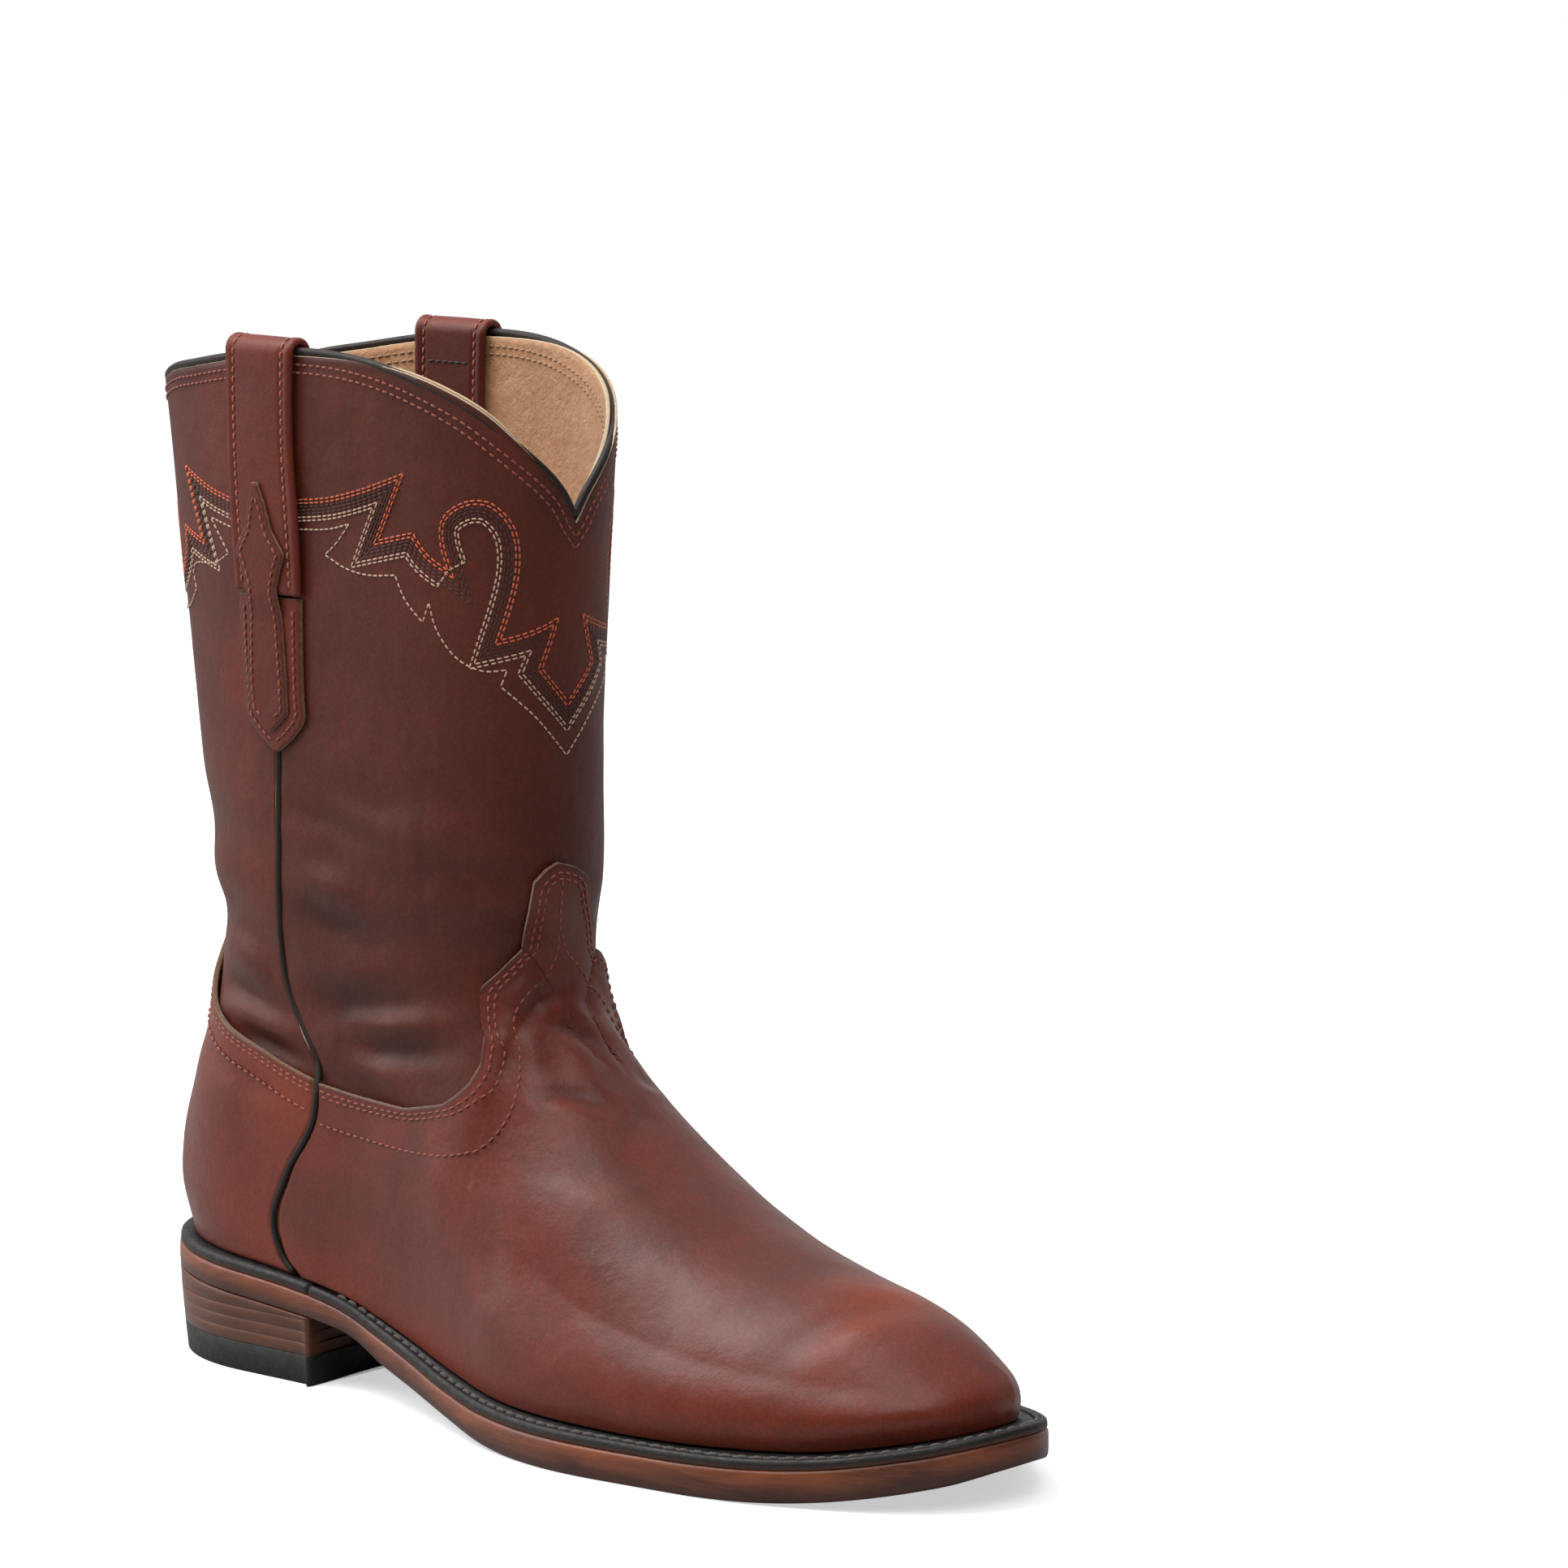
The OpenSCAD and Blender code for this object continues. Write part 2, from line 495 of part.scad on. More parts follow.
// Points spaced evenly along the vamp's top edge, from the side seam to the tongue's tip
function edge_lengths(keys, i) =
  i == 0 ? 0 : edge_lengths(keys, i - 1)
    + norm([(keys[i][0] - keys[i - 1][0]) * LAP_SLOPE_MM, keys[i][1] - keys[i - 1][1]]);
VAMP_LENGTHS = [for (i = [0:len(VAMP_TOP) - 1]) edge_lengths(VAMP_TOP, i)];
VAMP_V = [for (i = [0:len(VAMP_TOP) - 1]) [VAMP_LENGTHS[i], VAMP_TOP[i][0]]];
VAMP_H = [for (i = [0:len(VAMP_TOP) - 1]) [VAMP_LENGTHS[i], VAMP_TOP[i][1]]];
VAMP_EDGE = VAMP_LENGTHS[len(VAMP_LENGTHS) - 1];
function vamp_top(t) = [min(smooth(VAMP_V, t * VAMP_EDGE), SEAM_V), smooth(VAMP_H, t * VAMP_EDGE)];

module vamp() color(LEATHER) {
  half = columns / 2 + 3;
  bottom = [for (i = [-half:half]) [i / half * SEAM_V, SEAT - lasting_margin]];
  rim = [for (i = [-half:half]) [i / half * SEAM_V, SEAT]];
  top = [for (i = [-half:half])
    let (p = vamp_top(1 - abs(i) / half)) [sign(i) * p[0] - TONGUE_LEAN * pow(1 - p[0], 2), p[1]]];
  turn = [for (r = [0:1]) [for (c = [0:2 * half]) mix(bottom[c], rim[c], r / 2)]];
  steps = rows + 4;
  wall = [for (r = [0:steps]) [for (c = [0:2 * half]) mix(rim[c], top[c], pow(r / steps, VAMP_SPREAD))]];
  vh = concat(turn, wall);
  hs = [for (row = vh) [for (p = row) p[1]]];
  grid = [for (row = vh) [for (p = row) front_point(p[0], p[1])]];
  sheet(grid, levels(hs, "vamp_out"), levels(hs, "vamp_in"));
}

module counter_cover() color(LEATHER) {
  vs = back_v(22);
  turn = [for (r = [0:1]) [for (v = vs) [v, SEAT - lasting_margin * (1 - r / 2)]]];
  wall = [for (r = [0:10]) [for (v = vs) [v, mix(SEAT, smooth(COUNTER_TOP, abs(v)), r / 10)]]];
  vh = concat(turn, wall);
  hs = [for (row = vh) [for (p = row) p[1]]];
  grid = [for (row = vh) [for (p = row) back_point(p[0], p[1])]];
  sheet(grid, levels(hs, "vamp_out"), levels(hs, "vamp_in"));
}

module heel_counter() color([0.70, 0.55, 0.38]) {
  vs = [for (i = [0:16]) 0.93 * (1 - i / 8)];
  top = [for (v = vs) [v, 77 - 14 * pow(abs(v), 4)]];
  panel([for (v = vs) [v, SEAT + 2]], top, 6, false, "pared_out", "pared_in");
}

// The toe box is pared thinner than the heel's stiffener, to bend round the toe
TOE_GAP = 0.6;
module toe_box() color([0.70, 0.55, 0.38]) {
  vs = [for (i = [0:24]) 0.42 * (i / 12 - 1)];
  top = [for (v = vs) [v, 58 - 40 * pow(abs(v), 2)]];
  panel([for (v = vs) [v, SEAT + 2]], top, 10, true, "pared_out", "pared_in");
}

// Rows crowd towards the bend between the leg and the foot
LEG_SPREAD = 1.45;
FOOT_LINING_SPREAD = 0.7;
VAMP_SPREAD = 1.35;
module shaft_front() color(LEATHER_DARK) {
  vs = front_v(columns);
  panel([for (v = vs) [v, smooth(FRONT_LAP, abs(v))]], [for (v = vs) [v, smooth(TOP_FRONT, abs(v))]],
    rows, true, "leg_out", "leg_in", LEG_SPREAD);
}

module shaft_back() color(LEATHER_DARK) {
  vs = back_v(columns - 6);
  panel([for (v = vs) [v, smooth(BACK_LAP, abs(v))]], [for (v = vs) [v, smooth(TOP_BACK, abs(v))]],
    rows, false, "leg_out", "leg_in");
}

// Linings start above the insole's edge, and butt where the leg meets the foot
LINING_FOOT = SEAT + 5;
LINING_BUTT = 1.2;
module vamp_lining() color(LINING) {
  vs = front_v(columns - 4);
  panel([for (v = vs) [v, LINING_FOOT]], [for (v = vs) [v, smooth(FRONT_LAP, abs(v)) - LINING_BUTT]],
    rows - 3, true, "foot_lining_out", "foot_lining_in", FOOT_LINING_SPREAD);
}

module shaft_lining_front() color(LINING) {
  vs = front_v(columns);
  panel([for (v = vs) [v, smooth(FRONT_LAP, abs(v))]], [for (v = vs) [v, smooth(TOP_FRONT, abs(v))]],
    rows, true, "lining_out", "lining_in", LEG_SPREAD);
}

module shaft_lining_back() color(LINING) {
  vs = back_v(columns - 6);
  panel([for (v = vs) [v, LINING_FOOT]], [for (v = vs) [v, smooth(TOP_BACK, abs(v))]],
    rows + 4, false, "lining_out", "lining_in");
}

// ---- piping -------------------------------------------------------------
// Bead with a flange that passes in between the two edges of the side seam
function seam_frame(h, side) =
  let (
    u = seam_u(h),
    p = upper_point(h, u, side),
    along = unit(upper_point(h + 1, u, side) - p),
    ahead = unit(upper_point(h, u + 0.01, side) - upper_point(h, u - 0.01, side)),
    out = unit(cross(ahead, along)) * -side
  )
  [p, ahead, out];

module side_piping(side) color(BEAD) {
  loft([for (i = [0:26])
    let (
      h = mix(SEAT + 1, PIPING_TOP, i / 26),
      f = seam_frame(h, side),
      top = max(vamp_out(h) * (h < 90 ? 1 : 0), 0.1) + 0.1
    )
    [for (q = [[-0.3, -1.4], [0.3, -1.4], [0.3, top], [bead_r * 0.8, top + bead_r * 0.5],
        [0, top + bead_r * 1.3], [-bead_r * 0.8, top + bead_r * 0.5], [-0.3, top]])
      f[0] + f[1] * q[0] + f[2] * q[1]]]);
}

// Round bead along the top edge of one panel, over the outer leather and the lining
LEG_CENTRE = (LEG_LINING - LINING_ROOM) / 2;
BEAD_ROOM = 0.25;
function top_point(front, v) =
  front ? front_point(v, smooth(TOP_FRONT, abs(v))) : back_point(v, smooth(TOP_BACK, abs(v)));

module topline_piping(front) color(BEAD) {
  vs = front ? front_v(columns) : back_v(columns - 6);
  last = len(vs) - 1;
  loft([for (i = [0:last])
    let (
      v = vs[i],
      p = top_point(front, v),
      ahead = unit(top_point(front, vs[min(i + 1, last)]) - top_point(front, vs[max(i - 1, 0)])),
      out = unit(cross(ahead, [0, 0, 1])),
      up = unit(cross(out, ahead)),
      dip = front ? 1.8 * limit(1 - abs(v) / 0.1) : 0,
      centre = p + out * LEG_CENTRE + up * (bead_r + BEAD_ROOM + dip)
    )
    [for (k = [0:7]) centre + out * bead_r * cos(45 * k) + up * bead_r * sin(45 * k)]]);
}

// ---- pull straps --------------------------------------------------------
function leg_u(x, z) =
  let (a = smooth(RING_BACK_X, z), b = smooth(RING_FRONT_X, z))
  acos(1 - 2 * (x - a) / (b - a)) / 180;

// Point of the leg at x and z, moved out by a distance
function leg_at(x, z, side, far) =
  let (
    u = leg_u(x, z),
    p = ring_point(z, u, side),
    ahead = unit(ring_point(z, u + 0.01, side) - ring_point(z, u - 0.01, side)),
    out = unit([ahead[1], -ahead[0], 0]) * -side
  )
  p + out * far;

LOOP_R = 3.25;
function strap_x(z) = smooth(STRAP_LINE, z);
// Path of a strap in [distance out, height, direction of its outer face]
function strap_path(low_out, low_in, top) =
  concat(
    [for (i = [0:7]) [LEG_CENTRE + LOOP_R, mix(low_out, top, i / 8), 0]],
    [for (i = [0:8]) [LEG_CENTRE + LOOP_R * cos(22.5 * i), top + LOOP_R * sin(22.5 * i), 22.5 * i]],
    [for (i = [1:6]) [LEG_CENTRE - LOOP_R, mix(top, low_in, i / 6), 180]]);

module pull_strap(side) color(LEATHER) {
  top = STRAP_TOP + strap_loop - LOOP_R - STRAP_T / 2;
  path = strap_path(STRAP_FOOT, STRAP_TOP - strap_inner, top);
  thick = [0.3, 1, 1, 1, 0.3];
  loft([for (q = path)
    concat(
      [for (j = [0:4]) let (t = STRAP_T / 2 * thick[j])
        leg_at(strap_x(q[1]) + strap_w * (j - 2) / 4, q[1] + t * sin(q[2]), side, q[0] + t * cos(q[2]))],
      [for (j = [4:-1:0]) let (t = STRAP_T / 2 * thick[j])
        leg_at(strap_x(q[1]) + strap_w * (j - 2) / 4, q[1] - t * sin(q[2]), side, q[0] - t * cos(q[2]))])]);
}

// A flat patch on the leg with a half width for each height
module patch(shape, n, side, lift, t) {
  low = shape[0][0];
  high = shape[len(shape) - 1][0];
  loft([for (i = [0:n])
    let (
      z = mix(low, high, i / n),
      w = max(smooth(shape, z), 0.6),
      o = lift + (lift > 1 ? (STRAP_T - 1.2) * ease(209, 218.5, z) : 0)
    )
    concat(
      [for (j = [-2:2]) leg_at(strap_x(z) + w * j / 2, z, side, o + t)],
      [for (j = [2:-1:-2]) leg_at(strap_x(z) + w * j / 2, z, side, o)])]);
}

module strap_tail(side) color(LEATHER) {
  patch(TAIL, 14, side, GAP, 1.3);
}

module strap_overlay(side) color(LEATHER_DARK) {
  patch(OVERLAY, 22, side, 1.3 + 2 * GAP, 1);
}

heel_cap();
cap_nails();
heel_lift(1);  // heel_lift_1
heel_lift(2);  // heel_lift_2
heel_lift(3);  // heel_lift_3
heel_wedge();
heel_nails();
outsole();
heel_rand();
welt();
welt_stitch();
cork_filler();
shank_cover();
shank();
insole();
sock_lining();
vamp();
vamp_lining();
toe_box();
counter_cover();
heel_counter();
shaft_front();
shaft_back();
shaft_lining_front();
shaft_lining_back();
side_piping(LATERAL);  // side_piping_lateral
side_piping(MEDIAL);  // side_piping_medial
topline_piping(true);  // topline_piping_front
topline_piping(false);  // topline_piping_back
pull_strap(LATERAL);  // pull_strap_lateral
pull_strap(MEDIAL);  // pull_strap_medial
strap_tail(LATERAL);  // strap_tail_lateral
strap_tail(MEDIAL);  // strap_tail_medial
strap_overlay(LATERAL);  // strap_overlay_lateral
strap_overlay(MEDIAL);  // strap_overlay_medial
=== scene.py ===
import math

import bpy
import numpy as np
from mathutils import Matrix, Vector, noise


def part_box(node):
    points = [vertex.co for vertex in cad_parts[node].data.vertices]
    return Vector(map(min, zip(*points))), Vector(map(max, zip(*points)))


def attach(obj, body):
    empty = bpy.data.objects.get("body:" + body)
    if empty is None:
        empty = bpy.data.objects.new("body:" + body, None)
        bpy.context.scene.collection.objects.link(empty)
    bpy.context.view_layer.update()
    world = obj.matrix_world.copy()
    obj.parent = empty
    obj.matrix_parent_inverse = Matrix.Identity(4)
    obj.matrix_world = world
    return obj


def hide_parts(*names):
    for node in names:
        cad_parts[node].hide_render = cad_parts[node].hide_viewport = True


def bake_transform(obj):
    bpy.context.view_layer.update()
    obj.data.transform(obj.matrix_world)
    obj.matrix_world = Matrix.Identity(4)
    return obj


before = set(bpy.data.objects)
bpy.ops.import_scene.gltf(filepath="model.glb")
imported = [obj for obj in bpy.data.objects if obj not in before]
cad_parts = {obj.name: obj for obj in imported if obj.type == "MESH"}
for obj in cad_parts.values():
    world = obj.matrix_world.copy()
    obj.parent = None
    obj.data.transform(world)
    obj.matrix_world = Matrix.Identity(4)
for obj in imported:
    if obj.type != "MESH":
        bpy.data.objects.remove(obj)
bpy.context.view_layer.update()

OUTSOLE_LENGTH = 299.85
sole_low, sole_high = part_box("outsole")
MM = (sole_high.x - sole_low.x) / OUTSOLE_LENGTH
LATERAL, MEDIAL = -1, 1
SIDE_NAME = {LATERAL: "lateral", MEDIAL: "medial"}
rng = np.random.default_rng(7)

# ---- curves ----
SEAT = 35.0
TOE_TIP = (245.0, 3.0, 21.0)
# Where the ridge, the upper's edge and the sole's edge start to round off to the toe, and how full
# they are there, as exponents
RIDGE_TOE_X, EDGE_TOE_X, SOLE_TOE_X = 200, 150, 165
RIDGE_TOE_FULL, EDGE_TOE_FULL = 3.2, 3.6
SOLE_TOE_FULL = {LATERAL: 3.4, MEDIAL: 3.1}
RING_BACK_X = [(35, -39), (47, -43.5), (59, -41), (74, -34.5), (91, -29), (107, -26.5), (121, -26.3),
               (142, -30), (172, -36.3), (207, -41.5), (241, -46), (277, -51), (292, -53)]
RING_FRONT_X = [(35, 245), (38, 244.5), (41, 241), (46, 232), (55, 207), (66, 171), (78, 143),
                (90, 120), (104, 101.5), (118, 97.5), (142, 101), (172, 101), (207, 102.5),
                (241, 105), (277, 108), (292, 109)]
RING_FRONT_Z = [(104, 107), (121, 126), (142, 144), (172, 172), (207, 207), (241, 241),
                (277, 277), (292, 292)]
RIDGE = [(60, 202), (94, 128), (96, 118), (101, 106.5), (114.5, 91.5), (128.5, 79.5), (145.5, 67.5),
         (165, 57.5), (187, 51), (208, 47), (251, 38.5)]
RIDGE_Y = [(-60, 3), (60, 1), (95, -3.5), (115, 0), (150, .5), (200, 1.5), (251, 4)]
FEATHER = [(-44, 35.5), (-10, 33), (20, 30.5), (40, 27.5), (60, 22), (90, 15.5), (115, 12.7),
           (140, 12.2), (185, 12.3), (215, 13.8), (240, 18), (258, 22.5)]
EDGE = {
    LATERAL: [(-60, -30), (-10, -30.5), (20, -31), (48, -31.5), (70, -34.5), (92, -40.5),
              (112, -46.5), (140, -50), (170, -48), (195, -43.5), (251, -32)],
    MEDIAL: [(-60, 30), (-10, 30), (20, 29), (45, 27.5), (70, 28), (100, 31), (125, 37),
             (150, 41.7), (172, 42), (195, 39.8), (251, 28)]}
DOME = {LATERAL: 2.2, MEDIAL: 1.87}
LEG_HALF = [(35, 36), (110, 36.5), (140, 37), (172, 38), (225, 38.5), (292, 39.2)]
LEG_MIDDLE = [(35, 3), (140, 3.3), (172, 4.4), (292, 5.2)]
LEG_FRONT_Y = [(35, 4), (104, -3), (120, -3.5), (142, -6.5), (292, -6.5)]
LEG_POWER = 2.3
SIDE_SEAM = [(35, .304), (39, .294), (45, .298), (54, .321), (65, .36), (79, .416), (88, .438),
             (95, .437), (103, .421), (117, .402), (136, .409), (159, .427), (176.5, .438), (292, .45)]
TOP_FRONT = [(0, 242.8), (.045, 249.5), (.1, 254.6), (.16, 259.2), (.25, 265.5), (.36, 272.5),
             (.49, 278.4), (.61, 282.3), (.72, 284.2), (.84, 284.6), (1, 284)]
TOP_BACK = [(0, 265.5), (.1, 267.5), (.4, 273.5), (.55, 276.5), (.69, 278.6), (.79, 280.3),
            (.92, 282.5), (1, 284)]
VAMP_TOP = [(1, 87.5), (.886, 86.6), (.745, 86.5), (.604, 89.2), (.475, 93.7), (.385, 97.5), (.315, 102.6),
            (.292, 109.4), (.292, 113.5), (.225, 117.7), (.165, 123), (.118, 137), (.1, 145.5),
            (.05, 149), (0, 150.7)]
# The tongue of the vamp leans to the outer side
TONGUE_LEAN = 0.055
COUNTER_TOP = [(0, 127), (.06, 125.5), (.12, 121.5), (.167, 118), (.26, 112), (.38, 106), (.5, 100.5),
               (.6, 97), (.715, 94.3), (.8, 92.5), (.86, 90.9), (.93, 89.3), (1, 88)]
FRONT_LAP = [(0, 136), (.08, 127), (.16, 111), (.27, 100), (.36, 90), (.48, 83), (.7, 77.5), (1, 78)]
BACK_LAP = [(0, 113), (.1, 105), (.3, 95), (.6, 85), (1, 79)]
SOLE = {
    LATERAL: [(-60, -34), (-10, -34.5), (28, -34), (48, -35), (70, -39.5), (92, -46.5),
              (112, -52.5), (140, -56.5), (170, -54), (195, -50.5), (216, -45.5), (258, -38)],
    MEDIAL: [(-60, 34), (-10, 34), (28, 32.5), (48, 31), (70, 31.5), (100, 36), (125, 42),
             (150, 47.5), (172, 49.5), (195, 49.3), (216, 46), (258, 30)]}
SOLE_TIP = (256.5, 1.0)
SOLE_BACK = -43.5
UNDERSIDE = [(-44, 25.2), (28, 19.5), (45, 17), (60, 11.5), (90, 5.1), (115, .8), (135, 0),
             (185, 0), (215, 1.5), (245, 7), (258, 12)]
BREAST_X = 28.5
HEEL_CURVE_START = 2.0
HEEL_ROUND = 2.3
SEAT_TO_SOLE = 3.7
UPPER_T = 1.5
LINING_T = 1.1
LASTING_W = 12
LINING_OUT = -2.0
LEG_CENTRE = (LINING_OUT - LINING_T) / 2
BEAD_R = 1.15
SIDE_BEAD_R = 0.85
BEAD_CENTRE = -1.05
SIDE_BEAD_TOP = 178
LAP_AT_SEAM = 88
# Panels reach v = SEAM_V; JUST_INSIDE stands for the seam itself
SEAM_V = 0.99
JUST_INSIDE = 0.9999


def smooth(keys, x):
    """Smooth curve through (x, y) keys, level beyond both ends."""
    k = np.asarray(keys, float)
    xs, ys = k[:, 0], k[:, 1]
    x = np.clip(np.asarray(x, float), xs[0], xs[-1])
    slope = np.empty(len(xs))
    slope[1:-1] = (ys[2:] - ys[:-2]) / (xs[2:] - xs[:-2])
    slope[0] = (ys[1] - ys[0]) / (xs[1] - xs[0])
    slope[-1] = (ys[-1] - ys[-2]) / (xs[-1] - xs[-2])
    i = np.clip(np.searchsorted(xs, x, side="right") - 1, 0, len(xs) - 2)
    span = xs[i + 1] - xs[i]
    t = (x - xs[i]) / span
    return ((1 + 2 * t) * (1 - t) ** 2 * ys[i] + t * (1 - t) ** 2 * span * slope[i]
            + t * t * (3 - 2 * t) * ys[i + 1] + t * t * (t - 1) * span * slope[i + 1])


def ease(a, b, x):
    """0 below a, 1 above b, with a smooth step between."""
    t = np.clip((np.asarray(x, float) - a) / (b - a), 0, 1)
    return t * t * (3 - 2 * t)


def mix(a, b, t):
    return a + (b - a) * t


def root(x, power):
    """Rounds off from 1 at x = 0 to 0 at x = 1."""
    return np.sqrt(np.maximum(1 - x ** power, 0))


def ridge_z(x):
    """Height of the upper's top line over the foot."""
    t = np.clip((x - RIDGE_TOE_X) / (TOE_TIP[0] - RIDGE_TOE_X), 0, 1)
    return TOE_TIP[2] + (smooth(RIDGE, x) - TOE_TIP[2]) * root(t, RIDGE_TOE_FULL)


def edge_y(x, side):
    """How far the upper reaches to a side just over the welt."""
    t = np.clip((x - EDGE_TOE_X) / (TOE_TIP[0] - EDGE_TOE_X), 0, 1)
    return TOE_TIP[1] + (smooth(EDGE[side], x) - TOE_TIP[1]) * root(t, EDGE_TOE_FULL)


def foot_y(x, z, side):
    """Side of the foot at x and z, domed from the ridge down to the welt."""
    low = smooth(FEATHER, x)
    rise = np.clip((z - low) / np.maximum(ridge_z(x) - low, 1e-6), 0, 1)
    dome = root(rise, DOME[side]) * (1 + 0.05 * np.sin(np.pi * np.clip(rise / 0.5, 0, 1)))
    back = smooth(RING_BACK_X, z)
    behind = np.clip((HEEL_CURVE_START - x) / (HEEL_CURVE_START - back), 0, 1)
    heel = np.where(x < HEEL_CURVE_START, root(behind, HEEL_ROUND), 1)
    return mix(smooth(RIDGE_Y, x), edge_y(x, side), dome) * heel


def leg_y(s, h, side):
    """Side of the leg on ring h, at s from 0 (back) to 1 (front)."""
    middle = smooth(LEG_MIDDLE, h)
    ahead = np.clip(2 * s - 1, 0, 1) ** 2
    bulge = np.maximum(1 - np.abs(2 * s - 1) ** LEG_POWER, 0) ** (1 / LEG_POWER)
    return middle + (smooth(LEG_FRONT_Y, h) - middle) * ahead + side * smooth(LEG_HALF, h) * bulge


def ring_point(h, u, side):
    """Point of the upper on ring h, at u from 0 (back) to 1 (front)."""
    h, u = np.broadcast_arrays(np.asarray(h, float), np.asarray(u, float))
    s = (1 - np.cos(np.pi * u)) / 2
    front_x = smooth(RING_FRONT_X, h)
    x = mix(smooth(RING_BACK_X, h), front_x, s)
    front_z = mix(ridge_z(front_x), smooth(RING_FRONT_Z, h), ease(94, 112, h))
    z = mix(h, front_z, s)
    flat = np.clip(1 - (h - SEAT) / 8, 0, 1) ** 1.5
    z = mix(z, smooth(FEATHER, x) + (h - SEAT) * 0.6, flat)
    y = mix(foot_y(x, z, side), leg_y(s, h, side), ease(70, 142, h))
    return np.stack([x, y, z], -1)


def inward(p):
    """Unit directions in plan from edge points to the foot's long middle."""
    d = np.zeros_like(p)
    d[..., 0] = np.clip(p[..., 0], -8, 200) - p[..., 0]
    d[..., 1] = 4 - p[..., 1]
    return d / np.maximum(np.linalg.norm(d, axis=-1, keepdims=True), 1e-9)


def upper_point(h, u, side):
    """As ring_point, but rings below the seat turn in under the insole."""
    p = ring_point(np.maximum(h, SEAT), u, side)
    under = np.maximum(SEAT - h, 0)[..., None]
    q = p + inward(p) * under
    q[..., 2] = np.where(under[..., 0] > 0, smooth(FEATHER, q[..., 0]), q[..., 2])
    return q


def panel_point(front, v, h):
    """v runs from -1 at the outer side seam to 1 at the inner one."""
    v, h = np.broadcast_arrays(np.asarray(v, float), np.asarray(h, float))
    seam = smooth(SIDE_SEAM, np.maximum(h, SEAT))
    u = 1 - np.abs(v) * (1 - seam) if front else np.abs(v) * seam
    return np.where((v < 0)[..., None], upper_point(h, u, LATERAL), upper_point(h, u, MEDIAL))


def unit(d):
    """Directions made one long."""
    return d / np.maximum(np.linalg.norm(d, axis=-1, keepdims=True), 1e-9)


def panel_frame(front, v, h):
    """Points, outward normals and the two slopes of the surface."""
    v, h = np.broadcast_arrays(np.asarray(v, float), np.asarray(h, float))
    dv, dh = 0.004, 0.4
    point = panel_point(front, v, h)
    across = (panel_point(front, v + dv, h) - panel_point(front, v - dv, h)) / (2 * dv)
    up = (panel_point(front, v, h + dh) - panel_point(front, v, h - dh)) / (2 * dh)
    if not front:
        across = -across
    return point, unit(np.cross(across, up)), across, up


def vamp_out(h):
    """Outer face of the vamp and the counter; over the leg they lie on its leather."""
    return 0.3 + (0.6 + UPPER_T) * ease(42, 74, h) + 0.4 * ease(100, 115, h)


def chart_to_vh(a, z, front):
    """Panel coordinates of a point a mm of arc from the middle line, at height z on the leg."""
    a, z = np.broadcast_arrays(np.asarray(a, float), np.asarray(z, float))
    grid = np.linspace(0, 1, 161)
    out = np.empty(a.shape)
    for i in np.ndindex(a.shape):
        ring = panel_point(front, grid * (LATERAL if a[i] < 0 else MEDIAL), np.full(161, z[i]))
        out[i] = np.interp(abs(a[i]), arc_length(ring), grid) * (-1 if a[i] < 0 else 1)
    return out, z


# ---- folds and unevenness of the leather ----
# Each fold: points (v, h) on a panel, half width and depth in mm; a negative depth is a ridge
LEG_FRONT_FOLDS = [
    ([(-.97, 160.5), (-.85, 159), (-.731, 154.5), (-.621, 152)], 3.2, .75),
    ([(-.949, 166), (-.849, 166.5), (-.735, 166), (-.61, 162), (-.45, 163)], 6, .55),
    ([(-.929, 141), (-.807, 139), (-.714, 137)], 5, -.9),
    ([(-.947, 134), (-.832, 131), (-.685, 128.9)], 4.5, .7),
    ([(-.75, 157), (-.611, 157.5), (-.491, 159), (-.353, 155.1)], 6, -.8),
    ([(-.501, 149), (-.361, 147.1), (-.243, 150.1)], 6, .7),
    ([(-.794, 102.9), (-.656, 103.3), (-.539, 104.8), (-.422, 105.7)], 3.6, -1.1),
    ([(-.921, 108), (-.83, 106.8), (-.751, 107.9), (-.617, 109.9)], 4.2, 1.1),
    ([(-.976, 98.5), (-.841, 93.4), (-.761, 91.5), (-.661, 88.5)], 3.6, -.8),
    ([(-.874, 96.9), (-.77, 97.4), (-.643, 98.4), (-.501, 99.3)], 3.2, .9),
    ([(-.891, 118), (-.726, 115.9), (-.565, 117.8)], 6, -.7),
    ([(-.892, 125), (-.701, 123.9), (-.527, 126.8)], 5, .5),
    ([(.95, 160), (.8, 157), (.62, 153)], 4, .7),
    ([(.93, 140), (.8, 138), (.66, 134)], 5, -.9),
    ([(.9, 132), (.78, 128), (.6, 126)], 4.5, .8),
    ([(.9, 106), (.75, 104), (.6, 106)], 4, -1.0),
    ([(.93, 112), (.8, 110), (.62, 112)], 4, .9),
    ([(.86, 97), (.72, 96), (.58, 99)], 3.5, .8)]
